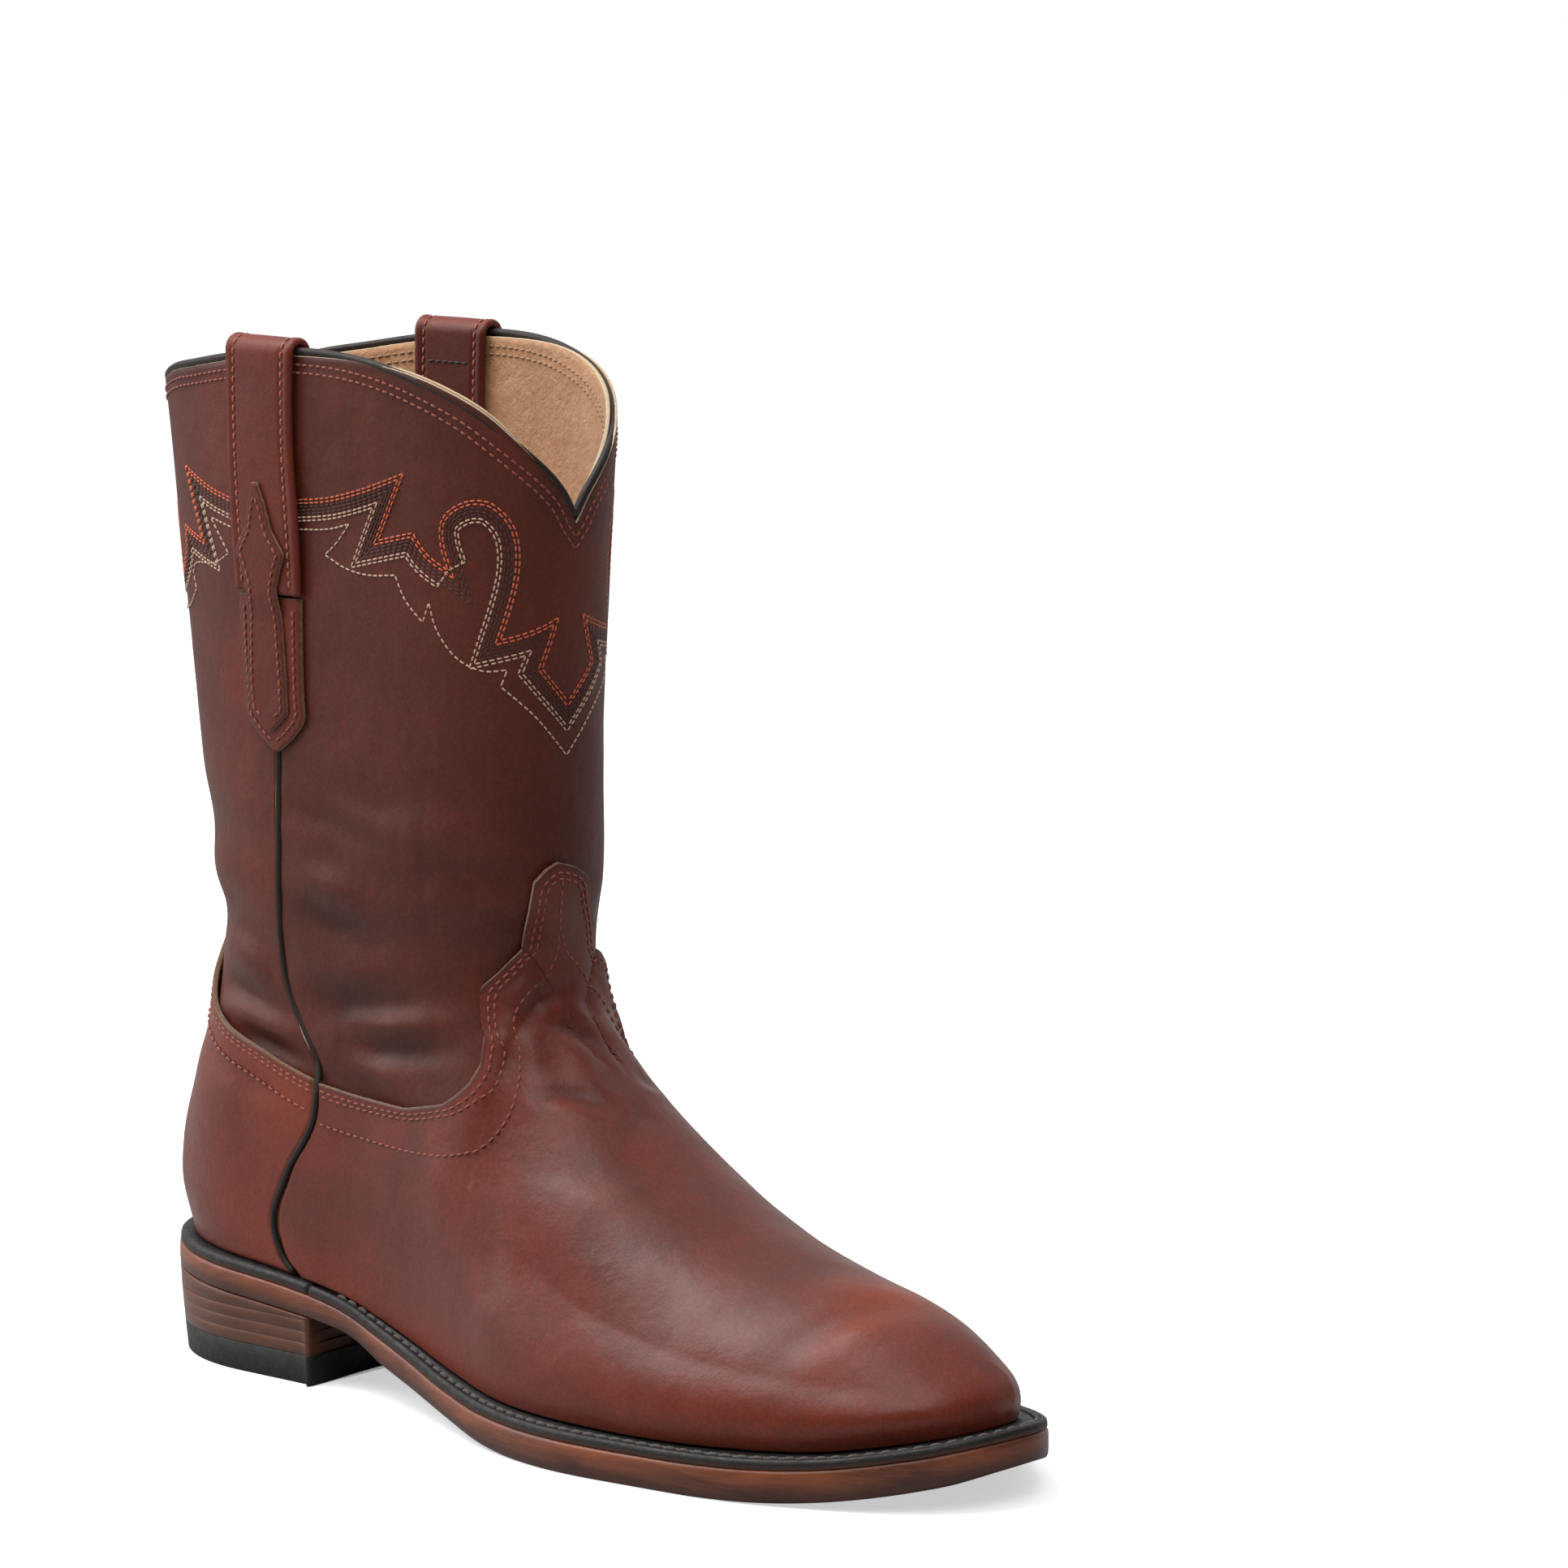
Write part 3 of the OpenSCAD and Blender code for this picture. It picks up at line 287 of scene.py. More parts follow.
LEG_BACK_FOLDS = [
    ([(-.6, 98.3), (-.746, 95.7), (-.853, 93.9), (-.975, 91.5)], 2.8, 1.3),
    ([(-.491, 100.4), (-.737, 99.5), (-.877, 98), (-.967, 97)], 3, -.9),
    ([(-.649, 118.8), (-.83, 114.5), (-.921, 111)], 4.5, -.8),
    ([(-.45, 112), (-.643, 107.9), (-.83, 104)], 4.5, .9),
    ([(-.35, 128), (-.465, 125.1), (-.837, 129)], 6, .7),
    ([(-.311, 141.2), (-.5, 139), (-.781, 143.9)], 7, -.7),
    ([(-.3, 152), (-.468, 153.3), (-.892, 149.9)], 7, .6),
    ([(-.3, 135.5), (0, 136.5), (.3, 135.5)], 5, .7),
    ([(.65, 98.5), (.78, 96), (.9, 94)], 2.8, 1.2),
    ([(.3, 116), (.6, 110), (.9, 106)], 4.5, .9),
    ([(.2, 128), (.55, 124), (.85, 120)], 5, -.8),
    ([(.3, 140), (.6, 137), (.9, 141)], 6, .7)]
VAMP_FOLDS = [
    ([(-.178, 107.2), (-.144, 110.2), (-.077, 111.7)], 2.6, 1.3),
    ([(-.234, 102.5), (-.253, 99.2), (-.275, 95.7)], 3.4, -.7),
    ([(-.196, 101.2), (-.14, 97.8), (-.097, 92.9)], 3.6, -1.0),
    ([(-.294, 92.4), (-.24, 92.2), (-.186, 91.6), (-.13, 89.3)], 2.4, 1.0),
    ([(-.106, 105.7), (-.025, 100.6), (.02, 98)], 2.8, 1.2),
    ([(-.07, 107), (-.02, 104), (.04, 101)], 3.4, -.7),
    ([(.03, 107), (.07, 102), (.12, 97)], 3.0, .7),
    ([(.08, 94), (.14, 92), (.2, 92)], 2.6, .6),
    ([(.14, 101), (.18, 97), (.21, 93)], 3.4, -.5),
    ([(-.34, 43), (-.287, 47), (-.209, 50.7), (-.106, 52.5), (0, 51.5)], 4.5, .7),
    ([(-.067, 85.6), (-.03, 87), (.04, 87)], 4, .5),
    ([(-.394, 80.8), (-.292, 78.5), (-.201, 80.2)], 4, .35),
    ([(-.461, 65.1), (-.303, 66.1), (-.152, 63.4)], 7, .35),
    ([(-.281, 59.1), (-.046, 60.7), (.1, 61)], 6, .3),
    ([(.15, 68), (.35, 67), (.5, 70)], 7, .35)]
COUNTER_FOLDS = [
    ([(-.531, 88.2), (-.74, 84.4), (-.9, 83.5)], 4, .4),
    ([(-.2, 100), (-.4, 92), (-.55, 89)], 5, .4),
    ([(.4, 93), (.6, 87), (.8, 84)], 4, .4)]


def segment_distance(points, a, b):
    """Distance from points to a segment, and how far along it the nearest point is."""
    d = b - a
    t = np.clip(((points - a) @ d) / max(d @ d, 1e-9), 0, 1)
    return np.linalg.norm(points - a - t[:, None] * d, axis=1), t


def fold_depth(points, folds, front):
    """How far folds push the surface in at each point, in mm; the leather swells beside each one."""
    total = np.zeros(len(points))
    for keys, width, depth in folds:
        keys = np.array(keys, float)
        line = panel_point(front, keys[:, 0], keys[:, 1])
        best = np.full(len(points), 1e9)
        along = np.zeros(len(points))
        steps = len(line) - 1
        for i in range(steps):
            d, t = segment_distance(points, line[i], line[i + 1])
            nearer = d < best
            best = np.where(nearer, d, best)
            along = np.where(nearer, (i + t) / steps, along)
        taper = 0.25 + 0.75 * np.sin(np.pi * np.clip(along, 0, 1))
        q = best / width
        swell = 0.45 * np.exp(-((q - 2) ** 2) / 0.8)
        total += depth * taper * (np.exp(-q * q) - swell)
    return total


def wobble(points, size, seed):
    """Smooth noise between -1 and 1 with features of the given size in mm."""
    shift = Vector((seed * 13.7, seed * 5.1, seed * 9.3))
    return np.array([noise.noise(Vector(p) / size + shift) for p in points])


def wobble_grid(point, size, seed):
    """wobble() on a grid, sampled coarsely and stretched."""
    m, n, _ = point.shape
    rs = np.linspace(0, m - 1, min(m, 48)).astype(int)
    cs = np.linspace(0, n - 1, min(n, 64)).astype(int)
    coarse = wobble(point[np.ix_(rs, cs)].reshape(-1, 3), size, seed).reshape(len(rs), len(cs))
    columns = np.stack([np.interp(np.arange(n), cs, row) for row in coarse])
    return np.stack([np.interp(np.arange(m), rs, columns[:, c]) for c in range(n)], -1)


# ---- meshes ----
def new_object(name, verts, faces, materials, index=None, floats=None):
    """A mesh object from millimetre vertices; floats holds named values for each vertex."""
    mesh = bpy.data.meshes.new(name)
    mesh.from_pydata((np.asarray(verts) * MM).tolist(), [], [list(map(int, f)) for f in faces])
    for m in materials:
        mesh.materials.append(m)
    if index is not None:
        mesh.polygons.foreach_set("material_index", np.asarray(index, np.int32))
    mesh.polygons.foreach_set("use_smooth", np.full(len(mesh.polygons), True))
    for key, values in (floats or {}).items():
        layer = mesh.attributes.new(key, "FLOAT", "POINT")
        layer.data.foreach_set("value", np.asarray(values, np.float32))
    mesh.update()
    obj = bpy.data.objects.new(name, mesh)
    bpy.context.scene.collection.objects.link(obj)
    return obj


def place(obj, nodes, body="boot"):
    """The piece stands for CAD nodes, which it hides, and rides on a body."""
    if nodes:
        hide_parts(*nodes)
    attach(obj, body)
    return obj


def quads(m, n, start=0, wrap=False):
    """Faces of an m by n grid of vertices; wrap joins the last column to the first."""
    r = np.arange(m - 1)[:, None]
    c = np.arange(n if wrap else n - 1)[None, :]
    a = start + r * n + c
    b = start + r * n + (c + 1) % n
    return np.stack([a, b, b + n, a + n], -1).reshape(-1, 4)


def sheet(name, point, normal, outer, inner, materials, fray=0.0, floats=None):
    """A skin between two distances from an (m, n, 3) grid, with a rounded, rough cut edge."""
    m, n, _ = point.shape
    front = point + normal * outer[..., None]
    back = point + normal * inner[..., None]
    loop = ([(0, c) for c in range(n)] + [(r, n - 1) for r in range(1, m)]
            + [(m - 1, c) for c in range(n - 2, -1, -1)] + [(r, 0) for r in range(m - 2, 0, -1)])
    rr = np.array([p[0] for p in loop])
    cc = np.array([p[1] for p in loop])
    inner_r = np.clip(rr, 1, m - 2)
    inner_c = np.clip(cc, 1, n - 2)
    outwards = unit(point[rr, cc] - point[inner_r, inner_c])
    thick = (outer - inner)[rr, cc][:, None]
    rims = []
    for depth, bulge in ((0.16, 0.10), (0.5, 0.17), (0.84, 0.10)):
        rough = fray * rng.normal(0, 1, len(loop))[:, None]
        rims.append(front[rr, cc] - normal[rr, cc] * thick * depth + outwards * (bulge * thick + rough))
    verts = np.concatenate([front.reshape(-1, 3), back.reshape(-1, 3)] + rims)
    k = m * n
    size = len(loop)
    grid = quads(m, n)
    faces = [grid, grid[:, ::-1] + k]
    index = [np.zeros(len(grid)), np.ones(len(grid))]
    edge = rr * n + cc
    chains = [edge] + [2 * k + i * size + np.arange(size) for i in range(3)] + [edge + k]
    for a, b in zip(chains[:-1], chains[1:]):
        faces.append(np.stack([a, b, np.roll(b, -1), np.roll(a, -1)], -1))
        index.append(np.full(size, 2))
    values = {}
    for key, grid_values in (floats or {}).items():
        flat_values = grid_values.reshape(-1)
        values[key] = np.concatenate([flat_values, flat_values] + [flat_values[edge]] * 3)
    return new_object(name, verts, np.concatenate(faces), materials, np.concatenate(index), floats=values)


def tube(name, sections, material, floats=None):
    """A capped skin over a row of closed sections, (m, n, 3)."""
    m, n, _ = sections.shape
    faces = [f[::-1] for f in quads(m, n, wrap=True)]
    faces += [list(range(n)), list(range(m * n - 1, (m - 1) * n - 1, -1))]
    return new_object(name, sections.reshape(-1, 3), faces, [material], floats=floats)


def arc_length(path):
    """Length along a path up to each of its points."""
    return np.concatenate([[0], np.cumsum(np.linalg.norm(np.diff(path, axis=0), axis=1))])


def columns_at(at, length, columns):
    """Columns known along a path, at other places along it."""
    return np.stack([np.interp(at, length, columns[:, i]) for i in range(columns.shape[1])], -1)


def resample(path, step=None, count=None, extra=None):
    """Evenly spaced points along a path, with extra columns carried along."""
    length = arc_length(path)
    count = count or max(int(round(length[-1] / step)) + 1, 2)
    at = np.linspace(0, length[-1], count)
    new = columns_at(at, length, path)
    if extra is None:
        return new
    return new, columns_at(at, length, extra)


# One stitch: places along it, thread radius and height of the thread there, as shares of the radius
STITCH_T = np.array([0, .1, .3, .7, .9, 1.0])
STITCH_R = np.array([.45, .85, 1, 1, .85, .45])
STITCH_LIFT = np.array([-.7, .1, .55, .55, .1, -.7])
STITCH_SIDES = 6
STITCH_JITTER = 0.04


def circle(sides):
    """Cosines and sines round a circle, shaped to spread (m, 1, 3) directions over (m, sides, 3)."""
    angle = np.arange(sides) * 2 * math.pi / sides
    return np.cos(angle)[None, :, None], np.sin(angle)[None, :, None]


def stitch_rows(name, rows, material, radius, pitch, fill, body="boot", slant=0.0):
    """Rows of thread stitches as one mesh. Each row is (points, normals)."""
    verts, faces, ends = [], [], []
    start = 0
    cosine, sine = circle(STITCH_SIDES)
    rings = len(STITCH_T)
    step = rings * STITCH_SIDES
    for path, normal in rows:
        length = arc_length(path)
        count = max(int(round(length[-1] / pitch)), 1)
        span = length[-1] / count
        for i in range(count):
            jitter = rng.uniform(-STITCH_JITTER, STITCH_JITTER) * span
            at = (i + (1 - fill) / 2 + STITCH_T * fill) * span + jitter
            p = columns_at(at, length, path)
            n = unit(columns_at(at, length, normal))
            ahead = unit(np.gradient(p, axis=0))
            side = unit(np.cross(n, ahead))
            p = p + side * slant * np.linspace(-1, 1, rings)[:, None]
            p = p + n * (STITCH_LIFT * radius)[:, None]
            r = (STITCH_R * radius)[:, None, None]
            ring = p[:, None] + side[:, None] * r * cosine + n[:, None] * r * sine
            verts.append(ring.reshape(-1, 3))
            faces += [f[::-1] for f in quads(rings, STITCH_SIDES, start, True).tolist()]
            faces += [list(range(start, start + STITCH_SIDES)),
                      list(range(start + step - 1, start + step - STITCH_SIDES - 1, -1))]
            ends.append(np.repeat(np.abs(STITCH_T * 2 - 1), STITCH_SIDES))
            start += step
    obj = new_object(name, np.concatenate(verts), faces, [material], floats={"end": np.concatenate(ends)})
    if body:
        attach(obj, body)
    return obj


# ---- materials ----
class Nodes:
    """A material's node tree; sizes are given in millimetres."""

    def __init__(self, name):
        self.material = bpy.data.materials.new(name)
        self.material.use_nodes = True
        self.tree = self.material.node_tree
        self.bsdf = self.tree.nodes["Principled BSDF"]
        self.coords = self.tree.nodes.new("ShaderNodeTexCoord").outputs["Object"]

    def node(self, kind, **settings):
        n = self.tree.nodes.new(kind)
        for key, value in settings.items():
            if hasattr(n, key) and key not in n.inputs:
                setattr(n, key, value)
            else:
                self.put(n.inputs[key], value)
        return n

    def put(self, socket, value):
        if isinstance(value, bpy.types.NodeSocket):
            self.tree.links.new(value, socket)
        else:
            socket.default_value = value

    def scaled(self, scale):
        n = self.node("ShaderNodeMapping")
        self.put(n.inputs["Vector"], self.coords)
        n.inputs["Scale"].default_value = [c / MM for c in scale]
        return n.outputs["Vector"]

    def noise(self, scale, detail=3.0, rough=0.55, warp=0.0):
        """scale: features per millimetre, one number or one for each axis."""
        scale = scale if isinstance(scale, (tuple, list)) else (scale, scale, scale)
        n = self.node("ShaderNodeTexNoise", Vector=self.scaled(scale), Scale=1.0, Detail=detail,
                      Roughness=rough, Distortion=warp)
        return n.outputs["Fac"]

    def cells(self, scale, feature="F1", smoothness=None):
        n = self.node("ShaderNodeTexVoronoi", feature=feature, Vector=self.scaled((scale,) * 3), Scale=1.0)
        if smoothness is not None:
            n.inputs["Smoothness"].default_value = smoothness
        return n.outputs["Distance"]

    def attribute(self, name):
        return self.node("ShaderNodeAttribute", attribute_name=name).outputs["Fac"]

    def math(self, operation, a, b=0.0, clamp=False):
        n = self.node("ShaderNodeMath", operation=operation, use_clamp=clamp)
        self.put(n.inputs[0], a)
        self.put(n.inputs[1], b)
        return n.outputs[0]

    def range(self, value, low, high, to_low=0.0, to_high=1.0):
        n = self.node("ShaderNodeMapRange", clamp=True)
        for socket, v in zip(("Value", "From Min", "From Max", "To Min", "To Max"),
                             (value, low, high, to_low, to_high)):
            self.put(n.inputs[socket], v)
        return n.outputs["Result"]

    def blend(self, fac, a, b, mode="MIX"):
        n = self.node("ShaderNodeMix", data_type="RGBA", blend_type=mode)
        for socket, v in zip((0, 6, 7), (fac, a, b)):
            self.put(n.inputs[socket], v)
        return n.outputs[2]

    def over(self, color, mask, share, code):
        """The colour with another laid over it where the mask is high."""
        return self.blend(self.math("MULTIPLY", mask, share, True), color, srgb(code))

    def bump(self, height, distance, strength, below=None):
        n = self.node("ShaderNodeBump", Height=height, Distance=distance * MM, Strength=strength)
        if below is not None:
            self.put(n.inputs["Normal"], below)
        return n.outputs["Normal"]

    def finish(self, color, roughness, normal=None, **more):
        self.put(self.bsdf.inputs["Base Color"], color)
        self.put(self.bsdf.inputs["Roughness"], roughness)
        if normal is not None:
            self.put(self.bsdf.inputs["Normal"], normal)
        for key, value in more.items():
            self.put(self.bsdf.inputs[key.replace("_", " ")], value)
        return self.material


def srgb(code):
    """Linear colour of a six-digit screen colour."""
    values = [int(code[i:i + 2], 16) / 255 for i in (0, 2, 4)]
    return [c / 12.92 if c <= 0.04045 else ((c + 0.055) / 1.055) ** 2.4 for c in values] + [1.0]


def leather(name, dark, mid, warm, rough, creased, specular=0.42):
    """Waxed pull-up leather: mottled, streaked, burnished where it is pulled, with a fine grain, and
    painted shade in its folds.
    """
    n = Nodes(name)
    cloud = n.range(n.noise(0.035, 4, 0.6, 0.6), 0.33, 0.68)
    color = n.blend(cloud, srgb(dark), srgb(mid))
    streak = n.range(n.noise((0.22, 0.22, 0.02), 4, 0.65, 0.3), 0.45, 0.75)
    color = n.over(color, streak, 0.14, warm)
    pulled = n.range(n.noise(0.06, 5, 0.62, 0.8), 0.56, 0.8)
    color = n.over(color, pulled, 0.25, warm)
    color = n.over(color, n.attribute("burnish"), 0.85, warm)
    speck = n.range(n.noise(0.9, 2, 0.7), 0.40, 0.66)
    color = n.blend(0.16, color, n.blend(speck, [.25, .2, .2, 1], [1, .95, .9, 1]), "OVERLAY")
    # Painted shade: darkens the colour in folds and on the strap's inner run
    color = n.over(color, n.attribute("fold_shade"), 0.55, "2a1310")
    color = n.over(color, n.attribute("edge"), 0.6, "35150f")
    pores = n.cells(1.15)
    grain = n.math("ADD", n.math("MULTIPLY", pores, 0.6), n.math("MULTIPLY", n.noise(2.2, 3, 0.6), 0.5))
    soft = n.noise(0.12, 2, 0.5, 0.2)
    normal = n.bump(soft, 0.55, creased)
    normal = n.bump(grain, 0.075, 0.55, normal)
    roughness = n.range(n.math("ADD", n.noise(0.05, 4, 0.6), n.math("MULTIPLY", pores, 0.18)), 0.35, 0.85,
                        rough - 0.07, rough + 0.12)
    return n.finish(color, roughness, normal, Specular_IOR_Level=specular, Coat_Weight=0.04,
                    Coat_Roughness=0.34, Sheen_Weight=0.02, Sheen_Roughness=0.5)


def flesh_side(name, base, dark):
    """Inner side of an outer leather."""
    n = Nodes(name)
    color = n.blend(n.noise(0.8, 4, 0.7), srgb(base), srgb(dark))
    return n.finish(color, 0.85, n.bump(n.noise(3.0, 4, 0.7), 0.12, 0.8))


def raw_edge(name, light, dark):
    """Cut edge of leather, with loose fibres."""
    n = Nodes(name)
    fibre = n.noise(1.6, 4, 0.75, 1.2)
    color = n.blend(n.range(fibre, 0.35, 0.65), srgb(dark), srgb(light))
    return n.finish(color, 0.88, n.bump(fibre, 0.2, 0.9), Sheen_Weight=0.3)


def lining_leather():
    n = Nodes("lining_leather")
    color = n.blend(n.range(n.noise(0.06, 4, 0.6), 0.35, 0.65), srgb("b6855d"), srgb("c8986e"))
    pebble = n.cells(0.42, "SMOOTH_F1", 0.6)
    wrinkle = n.noise(0.45, 4, 0.62, 1.6)
    color = n.over(color, n.range(pebble, 0.35, 0.75), 0.35, "a97c56")
    normal = n.bump(wrinkle, 0.5, 0.8)
    normal = n.bump(n.math("SUBTRACT", 1.0, pebble), 0.28, 0.7, normal)
    normal = n.bump(n.noise(2.6, 3), 0.06, 0.5, normal)
    return n.finish(color, n.range(wrinkle, 0.3, 0.7, 0.55, 0.72), normal, Sheen_Weight=0.15)


def bead_leather():
    n = Nodes("bead_leather")
    color = n.blend(n.noise(0.25, 4, 0.6), srgb("1c1512"), srgb("2d231f"))
    normal = n.bump(n.noise(1.2, 3, 0.6), 0.08, 0.5)
    return n.finish(color, n.range(n.noise(0.4), 0.3, 0.7, 0.46, 0.58), normal, Specular_IOR_Level=0.35)


def thread(name, color, dark):
    """Twisted waxed thread, with painted shade where it dives into the leather."""
    n = Nodes(name)
    wave = n.node("ShaderNodeTexWave", Vector=n.scaled((1.0, 1.0, 1.0)), Scale=1.1, Distortion=3.0)
    twist = wave.outputs["Fac"]
    base = n.over(srgb(color), twist, 0.35, dark)
    # Painted shade at both ends of each stitch, where it sinks into its hole
    base = n.blend(n.range(n.attribute("end"), 0.72, 1.0), base, srgb(dark))
    return n.finish(base, 0.6, n.bump(twist, 0.08, 0.7), Sheen_Weight=0.25)


def sole_leather():
    """Edge-dressed leather: orange-brown above, darker towards the bottom, scratched along its run."""
    n = Nodes("sole_leather")
    scratch = n.noise((0.05, 0.05, 1.6), 6, 0.75, 0.3)
    patch = n.noise((0.03, 0.03, 0.12), 4, 0.6, 0.6)
    color = n.blend(n.range(patch, 0.36, 0.66), srgb("5c2c1b"), srgb("924d2b"))
    color = n.over(color, n.range(scratch, 0.5, 0.72), 0.55, "a05a30")
    uneven = n.math("MULTIPLY", n.noise((0.06, 0.06, 0.5), 5, 0.7), 0.5)
    high = n.range(n.math("ADD", n.attribute("level"), uneven), 0.5, 0.92)
    color = n.over(color, n.math("SUBTRACT", 1.0, high), 0.75, "2e1611")
    mark = n.range(n.noise((0.12, 0.12, 0.9), 5, 0.8, 1.0), 0.66, 0.72)
    color = n.over(color, mark, 0.55, "1d0f0c")
    normal = n.bump(scratch, 0.22, 0.5)
    normal = n.bump(n.noise(0.9, 4, 0.7), 0.12, 0.45, normal)
    return n.finish(color, n.range(scratch, 0.3, 0.75, 0.3, 0.52), normal, Coat_Weight=0.15,
                    Coat_Roughness=0.3)


def heel_stack():
    """Dressed edge of the stacked leathers, with faint lines where they meet."""
    n = Nodes("heel_stack")
    scratch = n.noise((0.05, 0.05, 0.5), 5, 0.6, 0.3)
    color = n.blend(n.range(scratch, 0.25, 0.8), srgb("54301f"), srgb("6e3f29"))
    color = n.over(color, n.range(n.attribute("level"), 0.90, 0.97), 0.2, "9a5030")
    color = n.over(color, n.range(n.noise((0.05, 0.05, 0.3), 4, 0.6), 0.45, 0.7), 0.5, "331a13")
    normal = n.bump(scratch, 0.05, 0.3)
    return n.finish(color, n.range(scratch, 0.3, 0.75, 0.34, 0.5), normal, Coat_Weight=0.1,
                    Coat_Roughness=0.3)


def black_edge(name, base, light, rough, bumpy, foot=None):
    """Black rubber or dyed leather; foot is the colour along its lower edge, if it has another."""
    n = Nodes(name)
    color = n.blend(n.range(n.noise(0.35, 5, 0.7), 0.42, 0.72), srgb(base), srgb(light))
    if foot:
        color = n.blend(n.range(n.attribute("level"), 0.2, 0.5), srgb(foot), color)
    normal = n.bump(n.noise((0.5, 0.5, 1.2), 5, 0.7, 0.6), 0.3, bumpy)
    normal = n.bump(n.noise(2.5, 3), 0.08, 0.5, normal)
    return n.finish(color, n.range(n.noise(0.5, 4), 0.35, 0.65, rough - 0.06, rough + 0.12), normal)


def plain_leather(name, base, dark):
    n = Nodes(name)
    color = n.blend(n.noise(0.25, 5, 0.65), srgb(base), srgb(dark))
    return n.finish(color, 0.7, n.bump(n.noise(1.4, 4, 0.65), 0.15, 0.6))


def metal(name, color, rough):
    n = Nodes(name)
    brushed = n.noise((0.4, 0.4, 6), 3, 0.6)
    light = srgb(color)
    shade = [c * 0.7 for c in light[:3]] + [1]
    roughness = n.range(brushed, 0.3, 0.7, rough, rough + 0.15)
    return n.finish(n.blend(brushed, light, shade), roughness, n.bump(brushed, 0.03, 0.4), Metallic=1.0)


def cork_material():
    n = Nodes("cork")
    grains = n.cells(0.7)
    color = n.blend(n.range(grains, 0.1, 0.8), srgb("8a6238"), srgb("c09a66"))
    return n.finish(color, 0.9, n.bump(grains, 0.4, 0.7))


UPPER = leather("upper_leather", "5f281b", "743123", "8e3619", 0.38, 0.5)
LEG = leather("leg_leather", "4e2117", "5c281c", "782f1a", 0.44, 0.7, 0.28)
STRAP = leather("strap_leather", "5a2217", "692a1d", "7a3220", 0.44, 0.5, 0.3)
FLESH = flesh_side("flesh_side", "7a5438", "8c6546")
EDGE_BROWN = raw_edge("raw_edge", "926d4a", "4c3424")
EDGE_CREAM = raw_edge("cream_edge", "e2cfae", "b59a74")
LINING = lining_leather()
BEAD = bead_leather()
THREAD_ORANGE = thread("thread_orange", "ee6f40", "7c2a16")
THREAD_CREAM = thread("thread_cream", "e0bfa4", "7a4a3a")
THREAD_DARK = thread("thread_dark", "44190f", "260d08")
THREAD_PINK = thread("thread_pink", "a8523c", "240c08")
THREAD_TAN = thread("thread_tan", "b89068", "6a4a30")
THREAD_STRAP = thread("thread_strap", "c46a4c", "3a140e")
THREAD_NIGHT = thread("thread_night", "23212c", "0e0e12")
THREAD_WELT = thread("thread_welt", "544d47", "141210")
SOLE_LEATHER = sole_leather()
HEEL_STACK = heel_stack()
WELT_BLACK = black_edge("welt_black", "0d0b0b", "1f1c1b", 0.5, 0.5, "4a2a1d")
HEEL_RUBBER = black_edge("heel_rubber", "191a18", "2b2c29", 0.55, 0.35)

# ---- uppers ----
FINE = 1.0


def burnish_leg(point, front):
    """Where wax has been pulled thin: by the side seams and along the top and front edges."""
    x, z = point[..., 0], point[..., 2]
    if front:
        patches = 0.4 * ease(92, 101, x) * ease(150, 215, z)
        patches += 0.2 * np.exp(-((x - 34) ** 2) / 130) * np.exp(-((z - 200) ** 2) / 1400)
    else:
        patches = 0.6 * np.exp(-((x - 4) ** 2) / 260) * ease(70, 150, z) * (1 - 0.5 * ease(190, 240, z))
        patches += 0.4 * np.exp(-((z - 268) ** 2) / 300)
    return patches * ease(-0.6, 0.6, wobble_grid(point, 26, 3)) * 1.1


def edge_fade(shape):
    """1 on the top edge of a panel's grid, fading to 0 three rows in."""
    fade = np.zeros(shape)
    fade[-3:] = np.array([0.3, 0.7, 1.0])[:, None]
    return fade


def soft_kernel(pad):
    """Weights of a smooth average over pad points to each side."""
    kernel = np.hanning(2 * pad + 1)
    return kernel / kernel.sum()


def smooth_path(path, pad):
    """The path averaged over pad points to each side, with its ends kept in place."""
    padded = np.concatenate([2 * path[:1] - path[pad:0:-1], path, 2 * path[-1:] - path[-2:-pad - 2:-1]])
    kernel = soft_kernel(pad)
    return np.stack([np.convolve(padded[:, i], kernel, "valid") for i in range(path.shape[1])], -1)


def softened(point):
    """Evens out the vamp's wall under the throat, where the ridge climbs fast."""
    n = point.shape[1]
    pad = int(14 * FINE)
    padded = np.pad(point, ((0, 0), (pad, pad), (0, 0)), "edge")
    even = sum(k * padded[:, i:i + n] for i, k in enumerate(soft_kernel(pad)))
    x, z = point[..., 0], point[..., 2]
    share = ease(80, 91, x) * (1 - ease(104, 118, x)) * (1 - ease(84, 94, z)) * ease(34, 42, z)
    return mix(point, even, share[..., None])


# Depth in mm at which a fold's painted shade is darkest
CREASE_DEPTH = 1.6


def build_panel(name, node, front, grid, faces, materials, folds, burnish, lumps, fray,
                bulge=0.0, soft_wall=False):
    """One leather panel on a grid (v, h); faces are its outer and inner distances from the surface."""
    v, h = grid
    outer, inner = faces
    point, normal, _, _ = panel_frame(front, v, h)
    depth = fold_depth(point.reshape(-1, 3), folds, front).reshape(v.shape)
    if soft_wall:
        point = softened(point)
    depth = depth - bulge - lumps * wobble_grid(point, 30, 1) - 0.35 * lumps * wobble_grid(point, 11, 2)
    # Painted shade, darker the deeper the fold
    fold_shade = np.clip((depth + bulge) / CREASE_DEPTH, 0, 1)
    looks = {"burnish": burnish, "fold_shade": fold_shade, "edge": edge_fade(v.shape)}
    obj = sheet(name, point, normal, outer - depth, inner - depth, materials, fray, looks)
    return place(obj, [node])


def rows_between(bottom, top, m, power=1.0):
    """(m, n) grids of v and h between two edges given as (v, h) arrays."""
    t = (np.linspace(0, 1, m) ** power)[:, None]
    return bottom[0] + (top[0] - bottom[0]) * t, bottom[1] + (top[1] - bottom[1]) * t


# Length in mm of the half panel between v = 0 and v = 1, near the vamp's top edge
PANEL_HALF = 90
TO_MM = np.array([PANEL_HALF, 1])


